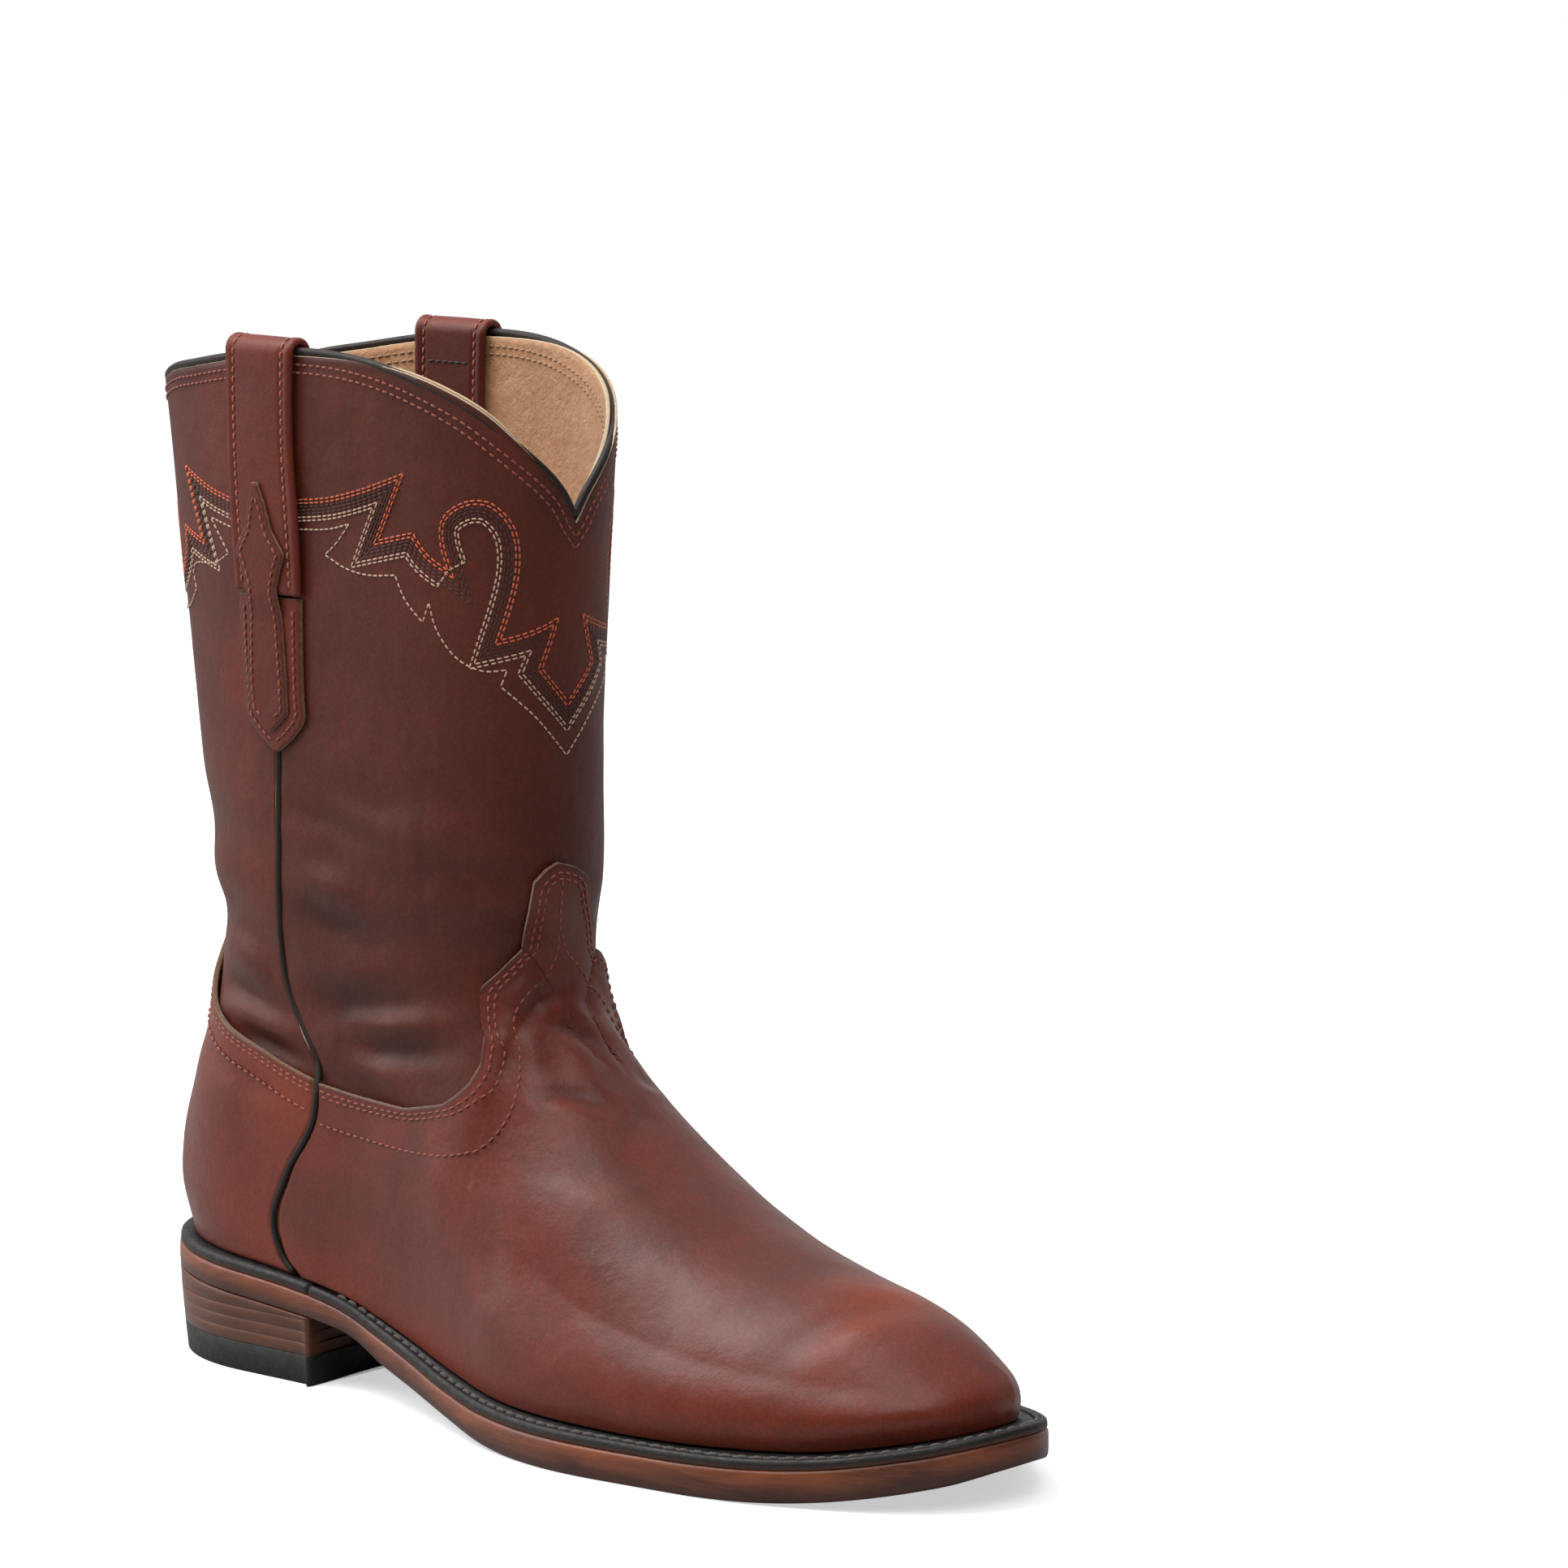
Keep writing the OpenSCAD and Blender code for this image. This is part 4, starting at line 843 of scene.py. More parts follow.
def edge_by_length(keys, count):
    """Points (v, h) spaced evenly along an edge table from its last key back to its first."""
    k = np.array(keys, float)[::-1]
    fine = []
    for a, b in zip(k[:-1], k[1:]):
        fine += [a + (b - a) * t for t in np.linspace(0, 1, 24, endpoint=False)]
    fine = np.array(fine + [k[-1]])
    fine = resample(fine * TO_MM, count=count * 8) / TO_MM
    soft = smooth_path(fine, 9)
    soft[0], soft[-1] = fine[0], fine[-1]
    return resample(soft * TO_MM, count=count) / TO_MM


vamp_half_edge = edge_by_length(VAMP_TOP, int(170 * FINE))


def lean(v):
    """The tongue's lean, fading out towards the seams."""
    return v - TONGUE_LEAN * (1 - np.abs(v)) ** 2


def vamp_outline():
    """Top edge of the vamp from the outer seam over the tongue to the inner seam, as v and h."""
    outer_half = vamp_half_edge[::-1] * [-1, 1]
    v = np.concatenate([outer_half[:, 0], vamp_half_edge[1:, 0]])
    h = np.concatenate([outer_half[:, 1], vamp_half_edge[1:, 1]])
    return np.clip(lean(v), -SEAM_V, SEAM_V), h


def lasted_rows(v0, top, m, power=1.0):
    """Grid of v and h from the edge turned in under the insole up to a panel's top edge."""
    def level(h):
        return v0, np.full(len(v0), h)

    wall = rows_between(level(SEAT), top, m, power)
    turned = rows_between(level(SEAT - LASTING_W), level(SEAT - 1.5), 6)
    return [np.concatenate(rows) for rows in zip(turned, wall)]


def build_vamp():
    top = vamp_outline()
    v, h = lasted_rows(np.linspace(-SEAM_V, SEAM_V, len(top[0])), top, int(150 * FINE), 1.25)
    point = panel_point(True, v, h)
    x, z = point[..., 0], point[..., 2]
    above_welt = z - smooth(FEATHER, x)
    toe_bulge = 1.5 * np.exp(-((above_welt - 8) / 6) ** 2) * ease(195, 232, x)
    patchy = ease(-.9, .4, wobble_grid(point, 22, 5))
    toe = 0.9 * np.exp(-((x - 210) / 10) ** 2) * ease(10, 22, above_welt) * patchy
    low = 0.35 * np.exp(-((above_welt - 4) ** 2) / 60)
    near_seam = 0.2 * ease(.75, .95, np.abs(v)) * ease(38, 60, h)
    build_panel("vamp_leather", "vamp", True, (v, h), (vamp_out(h), vamp_out(h) - UPPER_T),
                [UPPER, FLESH, EDGE_BROWN], VAMP_FOLDS, toe + low + near_seam, 0.28, 0.05,
                toe_bulge, soft_wall=True)


def build_counter():
    v0 = np.linspace(SEAM_V, -SEAM_V, int(170 * FINE))
    v, h = lasted_rows(v0, (v0, smooth(COUNTER_TOP, np.abs(v0))), int(64 * FINE))
    burnish = 0.5 * ease(.6, .95, np.abs(v)) + 0.3 * ease(70, 95, h)
    build_panel("counter_leather", "counter_cover", False, (v, h),
                (vamp_out(h), vamp_out(h) - UPPER_T), [UPPER, FLESH, EDGE_BROWN], COUNTER_FOLDS,
                burnish, 0.22, 0.05)


def leg_grid(front, n, m):
    """Grid of a leg panel from its lap under the foot's leather up to its top edge."""
    v0 = np.linspace(-SEAM_V, SEAM_V, n) * (1 if front else -1)
    if front:
        v0 = np.sign(v0) * np.abs(v0) ** 1.15
    lap, top = (FRONT_LAP, TOP_FRONT) if front else (BACK_LAP, TOP_BACK)
    return rows_between((v0, smooth(lap, np.abs(v0))), (v0, smooth(top, np.abs(v0))), m)


def build_leg(front):
    v, h = leg_grid(front, int((221 if front else 151) * FINE) | 1, int((170 if front else 150) * FINE))
    side = "front" if front else "back"
    skive = 1 - 0.55 * ease(0.97, 1.0, np.linspace(0, 1, len(v)))[:, None]
    faces = (0 * h, 0 * h - UPPER_T * skive)
    burnish = burnish_leg(panel_point(front, v, h), front)
    folds = LEG_FRONT_FOLDS if front else LEG_BACK_FOLDS
    build_panel("leg_" + side, "shaft_" + side, front, (v, h), faces,
                [LEG, FLESH, EDGE_CREAM], folds, burnish, 0.30, 0.03)


def build_leg_lining(front):
    v, h = leg_grid(front, int(121 * FINE) | 1, int(110 * FINE))
    point, normal, _, _ = panel_frame(front, v, h)
    lump = 0.12 * wobble_grid(point, 9, 4)
    outer = np.full(v.shape, LINING_OUT)
    side = "front" if front else "back"
    obj = sheet("leg_lining_" + side, point, normal, outer, outer - LINING_T + lump,
                [FLESH_LINING, LINING, EDGE_CREAM], 0.02)
    return place(obj, ["shaft_lining_" + side])


FLESH_LINING = plain_leather("lining_flesh", "b99470", "a07c5a")
build_vamp()
build_counter()
build_leg(True)
build_leg(False)
build_leg_lining(True)
build_leg_lining(False)


# ---- paths on the upper ----
# Height of a thread's middle over the leather, spacing of path points, and the seam's two rows of
# stitches, as distances from the cut edge
ROW_LIFT = 0.02
PATH_STEP = 0.8
SEAM_ROWS = (1.8, 3.7)
COUNTER_ROWS = SEAM_ROWS + (9.0,)
TOP_ROWS = (2.4, 4.6)
TOP_ROWS_INSIDE = (2.6, 4.8)


def surface_rows(front, v, h, out):
    """Points at a height over the surface, and the surface's normals."""
    point, normal, _, _ = panel_frame(front, v, h)
    return point + normal * np.asarray(out)[..., None], normal


def inset_path(front, v, h, distance, step=0.5):
    """Moves a (v, h) path into the panel by a distance along the surface."""
    path = np.stack([v, h], -1)
    for _ in range(int(round(distance / step))):
        point, normal, across, up = panel_frame(front, path[:, 0], path[:, 1])
        ahead = unit(np.gradient(point, axis=0))
        move = unit(np.cross(normal, ahead)) * step
        if move[len(move) // 2, 2] > 0:
            move = -move
        dv = np.sum(move * across, -1) / np.maximum(np.sum(across * across, -1), 1e-6)
        dh = np.sum(move * up, -1) / np.maximum(np.sum(up * up, -1), 1e-6)
        path = path + np.stack([dv if front else -dv, dh], -1)
        path = smooth_path(path, 3)
        path = resample(path * TO_MM, count=len(path)) / TO_MM
    keep = np.abs(path[:, 0]) < SEAM_V
    return path[keep, 0], path[keep, 1]


# Smallest cosine a mitred corner is stretched for
MITRE_LIMIT = 0.32


def offset_flat(path, distance):
    """Parallel of a flat path to its right, with mitred corners."""
    ahead = unit(np.diff(path, axis=0))
    right = np.column_stack([ahead[:, 1], -ahead[:, 0]])
    first, last = right[:1], right[-1:]
    bisector = unit(np.concatenate([first, unit(right[:-1] + right[1:]), last]))
    cosine = np.sum(bisector * np.concatenate([first, right[1:], last]), 1)
    return path + bisector * (distance / np.maximum(cosine, MITRE_LIMIT))[:, None]


# ---- decorative stitching on the leg ----
def joined(strokes):
    """Strokes that each start where the one before them ends, at a sharp corner."""
    whole = strokes[:1]
    for stroke in strokes[1:]:
        whole.append([whole[-1][-1]] + stroke)
    return whole


# Strokes (a, z): arc in mm from the panel's middle line, and height
FRONT_BAND = joined([
    [(-92, 245.5), (-80, 247), (-70, 249.5), (-61, 252.5), (-53, 255.5)],
    [(-60.6, 237)],
    [(-48.8, 239.8)],
    [(-43.8, 234.5), (-36.7, 230.5)],
    [(-39.4, 237), (-39.9, 242.5), (-37.9, 246), (-33.8, 248.6), (-29.6, 249.6),
     (-25.3, 249), (-21.2, 246), (-18.4, 242), (-17, 236.5), (-16.9, 230), (-17.9, 223.5),
     (-19.5, 217), (-20.8, 212.5)],
    [(-14.9, 214), (-9.2, 216), (-4.6, 218)],
    [(-6.6, 211.5), (-9.2, 204.5)],
    [(-5.6, 200.5), (0, 194.9)]])
FRONT_TRAIL = joined([
    [(-92, 237.5), (-79.5, 238.5), (-71.6, 240.5)],
    [(-76, 235), (-80.1, 231.5)],
    [(-72.3, 228.5), (-63.8, 227.3), (-54.1, 228)],
    [(-50.1, 221.5), (-44, 216)],
    [(-42.3, 221.5)],
    [(-39.8, 215), (-35.6, 209.5), (-31, 206), (-24.9, 204), (-18.7, 204.5)],
    [(-20.3, 200)],
    [(-11.4, 192.4), (-5.6, 186.3), (0, 180.4)]])
BACK_BAND = joined([
    [(80, 242), (70, 243), (62.2, 244.4), (55.4, 245.9), (47.9, 248.2), (40.7, 250.6)],
    [(47.6, 231)],
    [(35.2, 233.8)],
    [(34.4, 227.5), (28.5, 221.5), (23, 219.5)],
    [(25.5, 226), (24.5, 234), (19, 240), (12, 241.5), (6.5, 238), (4.5, 231), (6, 223)],
    [(0, 214)]])
BACK_TRAIL = joined([
    [(80, 234.5), (70, 235), (54.2, 237.6)],
    [(61.5, 228.4)],
    [(53.7, 225.2), (42.3, 224), (39.3, 221.4), (40.4, 216.6)],
    [(33, 211.5), (22, 209.5), (14, 213)],
    [(7, 206), (0, 200)]])
# Parallel rows of the band: distance from its strokes; then each colour's thread and its radius
BAND_ROWS = [(0.0, "orange"), (0.95, "orange"), (1.9, "dark"), (2.85, "dark"), (3.8, "dark"),
             (4.8, "cream"), (5.75, "cream")]
BAND_THREADS = {"orange": (THREAD_ORANGE, 0.24), "dark": (THREAD_DARK, 0.2), "cream": (THREAD_CREAM, 0.24)}


def stroke_curve(points, count=14):
    """Smooth curve through a stroke's points."""
    p = np.array(points, float)
    if len(p) == 2:
        return p[0] + (p[1] - p[0]) * np.linspace(0, 1, 6)[:, None]
    length = arc_length(p)
    at = np.linspace(0, length[-1], count * (len(p) - 1))
    return np.column_stack([smooth(np.column_stack([length, p[:, i]]), at) for i in (0, 1)])


# How far strokes are drawn out past their ends to find where they meet, and how far from its own
# corner a meeting place may be
REACH = 12.0
MEET_LIMIT = 20
NOWHERE = 1e9


def crossing(a, b, near):
    """Where two flat paths cross: (distance to a point, point, segment of a, segment of b).

    The last segment of a with the first of b comes first, then the crossing nearest to the point."""
    r, q = np.diff(a, axis=0)[:, None], np.diff(b, axis=0)[None]
    gap = b[None, :-1] - a[:-1, None]
    turn = r[..., 0] * q[..., 1] - r[..., 1] * q[..., 0]
    turn = np.where(np.abs(turn) < 1e-9, 1e-9, turn)
    t = (gap[..., 0] * q[..., 1] - gap[..., 1] * q[..., 0]) / turn
    w = (gap[..., 0] * r[..., 1] - gap[..., 1] * r[..., 0]) / turn
    point = a[:-1, None] + r * t[..., None]
    far = np.linalg.norm(point - near, axis=-1)
    far = np.where((t >= 0) & (t <= 1) & (w >= 0) & (w <= 1), far, NOWHERE)
    if far[-1, 0] < MEET_LIMIT:
        return far[-1, 0], point[-1, 0], len(far) - 1, 0
    i, j = np.unravel_index(np.argmin(far), far.shape)
    return far[i, j], point[i, j], i, j


def parallel_strokes(strokes, distance):
    """Strokes moved sideways by a distance and cut where neighbours meet."""
    moved = []
    for points in strokes:
        path = offset_flat(stroke_curve(points), distance)
        head = path[:1] + unit(path[:1] - path[1:2]) * REACH
        tail = path[-1:] + unit(path[-1:] - path[-2:-1]) * REACH
        moved.append(np.concatenate([head, path, tail]))
    first = [0] * len(moved)
    last = [len(path) - 1 for path in moved]
    ends = [[path[0], path[-1]] for path in moved]
    for k in range(len(moved) - 1):
        corner = np.array(strokes[k][-1], float)
        far, point, i, j = crossing(moved[k], moved[k + 1], corner)
        if far > MEET_LIMIT:
            point, i, j = corner, len(moved[k]) - 3, 1
        last[k], first[k + 1] = i, j + 1
        ends[k][1] = ends[k + 1][0] = point
    return [np.concatenate([[ends[k][0]], moved[k][max(first[k], 1):last[k] + 1], [ends[k][1]]])
            for k in range(len(moved))]


def half_to_vh(half, front):
    """Panel coordinates of a flat path on the half of a panel where arcs are negative."""
    return chart_to_vh(np.minimum(half[:, 0], -1e-3), half[:, 1], front)


def leg_stitch_paths(front, strokes, distance, mirror):
    """Rows (points, normals) for one line of a design on one half of a leg panel."""
    rows = []
    for piece in parallel_strokes(strokes, distance):
        if arc_length(piece)[-1] < 1.2:
            continue
        piece = resample(piece, step=PATH_STEP) * [1 if front else -1, 1]
        piece = piece[piece[:, 0] <= 0.01]
        if len(piece) < 3:
            continue
        v, h = half_to_vh(piece, front)
        keep = np.abs(v) < SEAM_V - 0.012
        v, h = (-v if mirror else v)[keep], h[keep]
        if len(v) > 2:
            rows.append(surface_rows(front, v, h, np.full(len(v), ROW_LIFT)))
    return rows


def build_leg_design():
    for side, band, trail in (("front", FRONT_BAND, FRONT_TRAIL), ("back", BACK_BAND, BACK_TRAIL)):
        front = side == "front"
        sign = 1 if front else -1
        rows = {color: [] for color in BAND_THREADS}
        for mirror in (False, True):
            for distance, color in BAND_ROWS:
                rows[color] += leg_stitch_paths(front, band, distance * sign, mirror)
            rows["cream"] += leg_stitch_paths(front, trail, 0.0, mirror)
        for color, found in rows.items():
            material, radius = BAND_THREADS[color]
            stitch_rows(f"leg_{side}_stitch_{color}", found, material, radius, 2.0, 0.8)


build_leg_design()


# ---- seam rows ----
def seam_row(front, v, h):
    """A row of stitches on the vamp or the counter."""
    point, normal = surface_rows(front, v, h, vamp_out(h) + ROW_LIFT)
    point, normal = resample(point, step=PATH_STEP, extra=normal)
    return point, unit(normal)


# Strokes (v, h) of the vamp's single row, and the stem (v, h) it ends in on the tongue
THIRD_ROW = joined([
    [(-.983, 78.1), (-.885, 77.5), (-.756, 77.7), (-.609, 80.2), (-.489, 85.2), (-.367, 92.8),
     (-.281, 99.8), (-.236, 105.1), (-.215, 107.5)],
    [(-.155, 113.5), (-.095, 118.5), (-.065, 123), (-.055, 129)]])
STEM = [(-.052, 129), (-.044, 146)]


def build_seam_rows():
    rows = [seam_row(True, *inset_path(True, *vamp_outline(), distance)) for distance in SEAM_ROWS]
    for stroke in THIRD_ROW:
        v, h = stroke_curve(stroke, 30).T
        mirrored = -v - 2 * TONGUE_LEAN * (1 - np.abs(v)) ** 2
        rows += [seam_row(True, v, h), seam_row(True, mirrored, h)]
    rows.append(seam_row(True, *np.linspace(*STEM, 20).T))
    counter_v = np.linspace(SEAM_V, -SEAM_V, 260)
    counter_h = smooth(COUNTER_TOP, np.abs(counter_v))
    for distance in COUNTER_ROWS:
        rows.append(seam_row(False, *inset_path(False, counter_v, counter_h, distance)))
    stitch_rows("foot_seam_stitch", rows, THREAD_PINK, 0.29, 2.7, 0.72)


def top_edge_path(front, distance, count=240):
    """Half of the top edge moved into the leather by a distance, as flat points (a, z)."""
    v = np.linspace(SEAM_V, 0, count)
    h = smooth(TOP_FRONT if front else TOP_BACK, v)
    rings = [panel_point(front, np.linspace(0, v[i], 60), np.full(60, h[i])) for i in range(count)]
    half = np.column_stack([[-arc_length(ring)[-1] for ring in rings], h])
    whole = np.concatenate([half, (half[:-1] * [-1, 1])[::-1]])
    moved = offset_flat(whole, distance)[:count]
    return moved[moved[:, 0] <= 0.05]


def top_rows(distances, out, facing=1):
    """Rows of stitches along the top edge of both leg panels, on their outer or inner side."""
    rows = []
    for front in (True, False):
        for distance in distances:
            v, h = half_to_vh(resample(top_edge_path(front, distance), step=1.5), front)
            for side in (1, -1):
                point, normal = surface_rows(front, v * side, h, np.full(len(v), out))
                rows.append((point, normal * facing))
    return rows


def build_top_rows():
    stitch_rows("top_stitch", top_rows(TOP_ROWS, ROW_LIFT), THREAD_PINK, 0.29, 2.5, 0.76)
    inner = top_rows(TOP_ROWS_INSIDE, LINING_OUT - LINING_T - 0.05, -1)
    stitch_rows("top_stitch_inside", inner, THREAD_TAN, 0.26, 2.5, 0.76)


build_seam_rows()
build_top_rows()


# ---- beads ----
def bead_sections(centre, out, radius):
    """Round sections across a path of centres."""
    ahead = unit(np.gradient(centre, axis=0))
    up = unit(np.cross(out, ahead))
    out = unit(np.cross(ahead, up))
    cosine, sine = circle(14)
    return centre[:, None] + out[:, None] * radius * cosine + up[:, None] * radius * sine


def build_top_bead(front):
    half = top_edge_path(front, -(BEAD_R - 0.1))
    half = half[half[:, 0] < -0.4] if front else half
    v, h = half_to_vh(resample(smooth_path(half, 3), step=1.0), front)
    v = np.concatenate([v, -v[::-1]])
    h = np.concatenate([h, h[::-1]])
    point, normal, _, _ = panel_frame(front, v, h)
    centre = point + normal * BEAD_CENTRE
    centre, normal = resample(centre, step=0.9, extra=normal)
    if front:
        centre = smooth_path(centre, 2)
    side = "front" if front else "back"
    obj = tube("top_bead_" + side, bead_sections(centre, normal, BEAD_R), BEAD)
    return place(obj, ["topline_piping_" + side])


def build_side_bead(side):
    low, high = SEAT + 0.5, SIDE_BEAD_TOP
    h = np.linspace(low, high, int((high - low) / PATH_STEP))
    point, normal, _, _ = panel_frame(True, np.full(len(h), side * JUST_INSIDE), h)
    lift = np.where(h < LAP_AT_SEAM, vamp_out(h), 0.0)
    lift = np.convolve(np.pad(lift, 4, "edge"), np.ones(9) / 9, "valid") - 0.25
    centre = point + normal * lift[:, None]
    name = "side_bead_" + ("outer" if side < 0 else "inner")
    obj = tube(name, bead_sections(centre, normal, SIDE_BEAD_R), BEAD)
    return place(obj, ["side_piping_" + SIDE_NAME[side]])


for is_front in (True, False):
    build_top_bead(is_front)
for is_side in (LATERAL, MEDIAL):
    build_side_bead(is_side)

# ---- pull straps ----
# The strap's middle line (z, x); heights of its sewn foot, its crest and its end inside the leg
STRAP_LINE = [(176, 19.6), (186, 18.6), (204, 17.6), (220, 17.3), (236, 16.4), (251, 15.4), (264, 15),
              (290, 15.3)]
STRAP_FOOT = 219.6
STRAP_CREST = 289.3
STRAP_END = 232.0
LOOP_R = 3.25
# Across the strap: width, thickness, the roll of its edges and the seam's distance from the middle
STRAP_W = 26.0
STRAP_T = 2.2
EDGE_ROLL = 1.25
ROLL_HALF_T = 1.12
BODY_HALF_T = 0.88
STRAP_ROW = 9.5
GROOVE_DEPTH = 0.42
# Heights of the rows sewn across the strap inside the leg
CROSS_ROWS = (277.0, 236.0)
# Heights between which the loop gives way to its sewn foot; the strap's shape makes no use of them
BLEND_LOW, BLEND_HIGH = 250, 280
# Half widths (z, half width) of the two patches under and on the strap
TAIL = [(176.5, .8), (180, 6.2), (184, 10.6), (187, 12), (191, 11.7), (203, 12), (218.6, 12.3)]
OVERLAY = [(182, .8), (187, 7.3), (195, 7.6), (210, 6.9), (221, 5.8), (226, 7.5), (230.6, 9.6), (237, 5.1),
           (244, 3.2), (249.5, .8)]
OVERLAY_SHIFT = -0.8
TAIL_T, OVERLAY_T = 1.3, 1.0


def leg_at(x, z, side, far):
    """Point of the leg at x and z, moved out by far, and its outward direction."""
    back, front = smooth(RING_BACK_X, z), smooth(RING_FRONT_X, z)
    u = np.arccos(np.clip(1 - 2 * (x - back) / (front - back), -1, 1)) / np.pi
    p = ring_point(z, u, side)
    ahead = unit(ring_point(z, u + 0.01, side) - ring_point(z, u - 0.01, side))
    out = np.stack([ahead[..., 1], -ahead[..., 0], 0 * ahead[..., 0]], -1) * -side
    return p + out * np.asarray(far)[..., None], out


def strap_path():
    """Path of a strap: distance out, height and the turn of its outer face."""
    top = STRAP_CREST - LOOP_R - STRAP_T / 2
    outer_z = np.linspace(STRAP_FOOT, top, 70, endpoint=False)
    turn = np.linspace(0, math.pi, 32)
    inner_z = np.linspace(top, STRAP_END, 50)[1:]
    z = np.concatenate([outer_z, top + LOOP_R * np.sin(turn), inner_z])
    angle = np.concatenate([0 * outer_z, turn, np.full(len(inner_z), math.pi)])
    return LEG_CENTRE + LOOP_R * np.cos(angle), z, angle


def strap_profile():
    """Across the strap: (place, outer, inner), rolled thick at both edges with a groove for the seam."""
    flat = STRAP_W / 2 - EDGE_ROLL
    body_end = flat - 0.35
    quarter = np.linspace(0, math.pi / 2, 6)
    places = np.concatenate([-np.cos(quarter) * EDGE_ROLL - flat, np.linspace(-body_end, body_end, 33),
                             np.sin(quarter) * EDGE_ROLL + flat])
    rest = np.abs(places)
    roll = np.sqrt(np.clip(1 - ((rest - flat) / EDGE_ROLL) ** 2, 0, 1))
    thick = ROLL_HALF_T * np.where(rest > flat, roll, 1)
    body = BODY_HALF_T + 0.10 * np.cos(rest / flat * math.pi / 2)
    body = mix(body, ROLL_HALF_T, ease(body_end - 1.3, body_end, rest))
    thick = np.where(rest < body_end, body, thick)
    groove = GROOVE_DEPTH * np.exp(-((rest - STRAP_ROW) / 0.55) ** 2)
    return places, np.maximum(thick - groove, 0.03), np.maximum(thick * 0.95, 0.03)


def strap_blend(obj):
    """Bakes the piece's placement into its mesh."""
    x = float(smooth(STRAP_LINE, BLEND_LOW)) * MM
    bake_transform(obj)


def build_strap(side):
    far, z, angle = strap_path()
    places, outer, inner = strap_profile()
    wave = 1 + 0.02 * np.sin(z / 9.0)
    halves = []
    for across, reach in ((places, outer), (places[::-1], -inner[::-1])):
        x = smooth(STRAP_LINE, z)[:, None] - across[None, :] * wave[:, None] * side
        dist = far[:, None] + reach[None, :] * np.cos(angle)[:, None]
        height = z[:, None] + reach[None, :] * np.sin(angle)[:, None]
        halves.append(leg_at(x, height, side, dist)[0])
    sections = np.concatenate(halves, 1)
    m, n, _ = sections.shape
    rim = np.abs(places) > STRAP_W / 2 - 0.6
    edge = np.tile(np.concatenate([rim, rim]), m)
    wear = 0.5 * ease(280, 289, np.repeat(z, n)) + 0.15
    # Painted shade on the strap's run inside the leg, past the turn of the loop
    looks = {"burnish": wear + 0.25 * edge, "fold_shade": 0.75 * ease(2.2, 3.0, np.repeat(angle, n)),
             "edge": np.zeros(m * n)}
    obj = tube("pull_strap_leather_" + SIDE_NAME[side], sections, STRAP, looks)
    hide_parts("pull_strap_" + SIDE_NAME[side])
    strap_blend(obj)


def build_strap_stitches(side):
    far, z, angle = strap_path()
    keep = z > STRAP_FOOT + 1
    far, z, angle = far[keep], z[keep], angle[keep]
    lift = ROLL_HALF_T - 0.4
    rows = []
    for offset in (-STRAP_ROW, STRAP_ROW):
        x = smooth(STRAP_LINE, z) + offset
        point, out = leg_at(x, z + lift * np.sin(angle), side, far + lift * np.cos(angle))
        normal = out * np.cos(angle)[:, None] + np.array([0, 0, 1.0]) * np.sin(angle)[:, None]
        rows.append(resample(point, step=PATH_STEP, extra=normal))
    obj = stitch_rows("strap_stitch_" + SIDE_NAME[side], rows, THREAD_STRAP, 0.29, 2.6, 0.75, body=None)
    strap_blend(obj)
    x = float(smooth(STRAP_LINE, 270)) + np.linspace(-7.5, 7.5, 20)
    depth = np.full(20, LEG_CENTRE - LOOP_R - 0.95)
    rows = []
    for height in CROSS_ROWS:
        point, out = leg_at(x, np.full(20, height), side, depth)
        rows.append((point, -out))
    name = "strap_box_stitch_" + SIDE_NAME[side]
    obj = stitch_rows(name, rows, THREAD_NIGHT, 0.3, 2.4, 0.78, body=None)
    strap_blend(obj)


def half_widths(shape, count):
    """Heights and half widths of a patch, evenly spaced in height."""
    keys = np.array(shape, float)
    z = np.linspace(keys[0, 0], keys[-1, 0], count)
    return z, np.interp(z, keys[:, 0], keys[:, 1])


def patch_sheet(name, node, leather_out, shape, side, lift, thick, n, m, shift):
    """A raw-edged leather patch on an m by n grid, lying at a lift over the leg."""
    z, half = half_widths(shape, m)
    half = half + rng.normal(0, 0.05, m)
    across = np.linspace(-1, 1, n)
    x = smooth(STRAP_LINE, z)[:, None] + shift + half[:, None] * across[None, :]
    z = np.repeat(z[:, None], n, 1)
    base, out = leg_at(x, z, side, lift(z))
    if side == MEDIAL:
        base, out = base[:, ::-1], out[:, ::-1]
    dome = thick * (1 - 0.25 * np.abs(across[None, :]) ** 6) + 0 * z
    edge = np.zeros(z.shape)
    edge[:, :2] = edge[:, -2:] = 0.5
    looks = {"burnish": 0.3 + 0 * dome, "fold_shade": 0 * dome, "edge": edge}
    obj = sheet(name, base, out, dome, 0 * dome, [leather_out, FLESH, EDGE_BROWN], 0.05, looks)
    return place(obj, [node])


def patch_rows(shape, side, lift, inset, ends, shift):
    """Rows of stitching inside a patch's outline, stopping short of its ends."""
    z, half = half_widths(shape, 120)
    moved = offset_flat(np.column_stack([half, z]), -inset)
    half, z = moved[(moved[:, 0] > 0.2) & (moved[:, 1] > z[0] + ends) & (moved[:, 1] < z[-1] - ends)].T
    rows = []
    for sign in (1, -1):
        point, out = leg_at(smooth(STRAP_LINE, z) + shift + sign * half, z, side, lift(z))
        rows.append(resample(point, step=PATH_STEP, extra=out))
    return rows


def tail_lift(z):
    return 0.4 + 0 * z


def overlay_lift(z):
    return 1.75 + 1.15 * ease(212, 220, z)


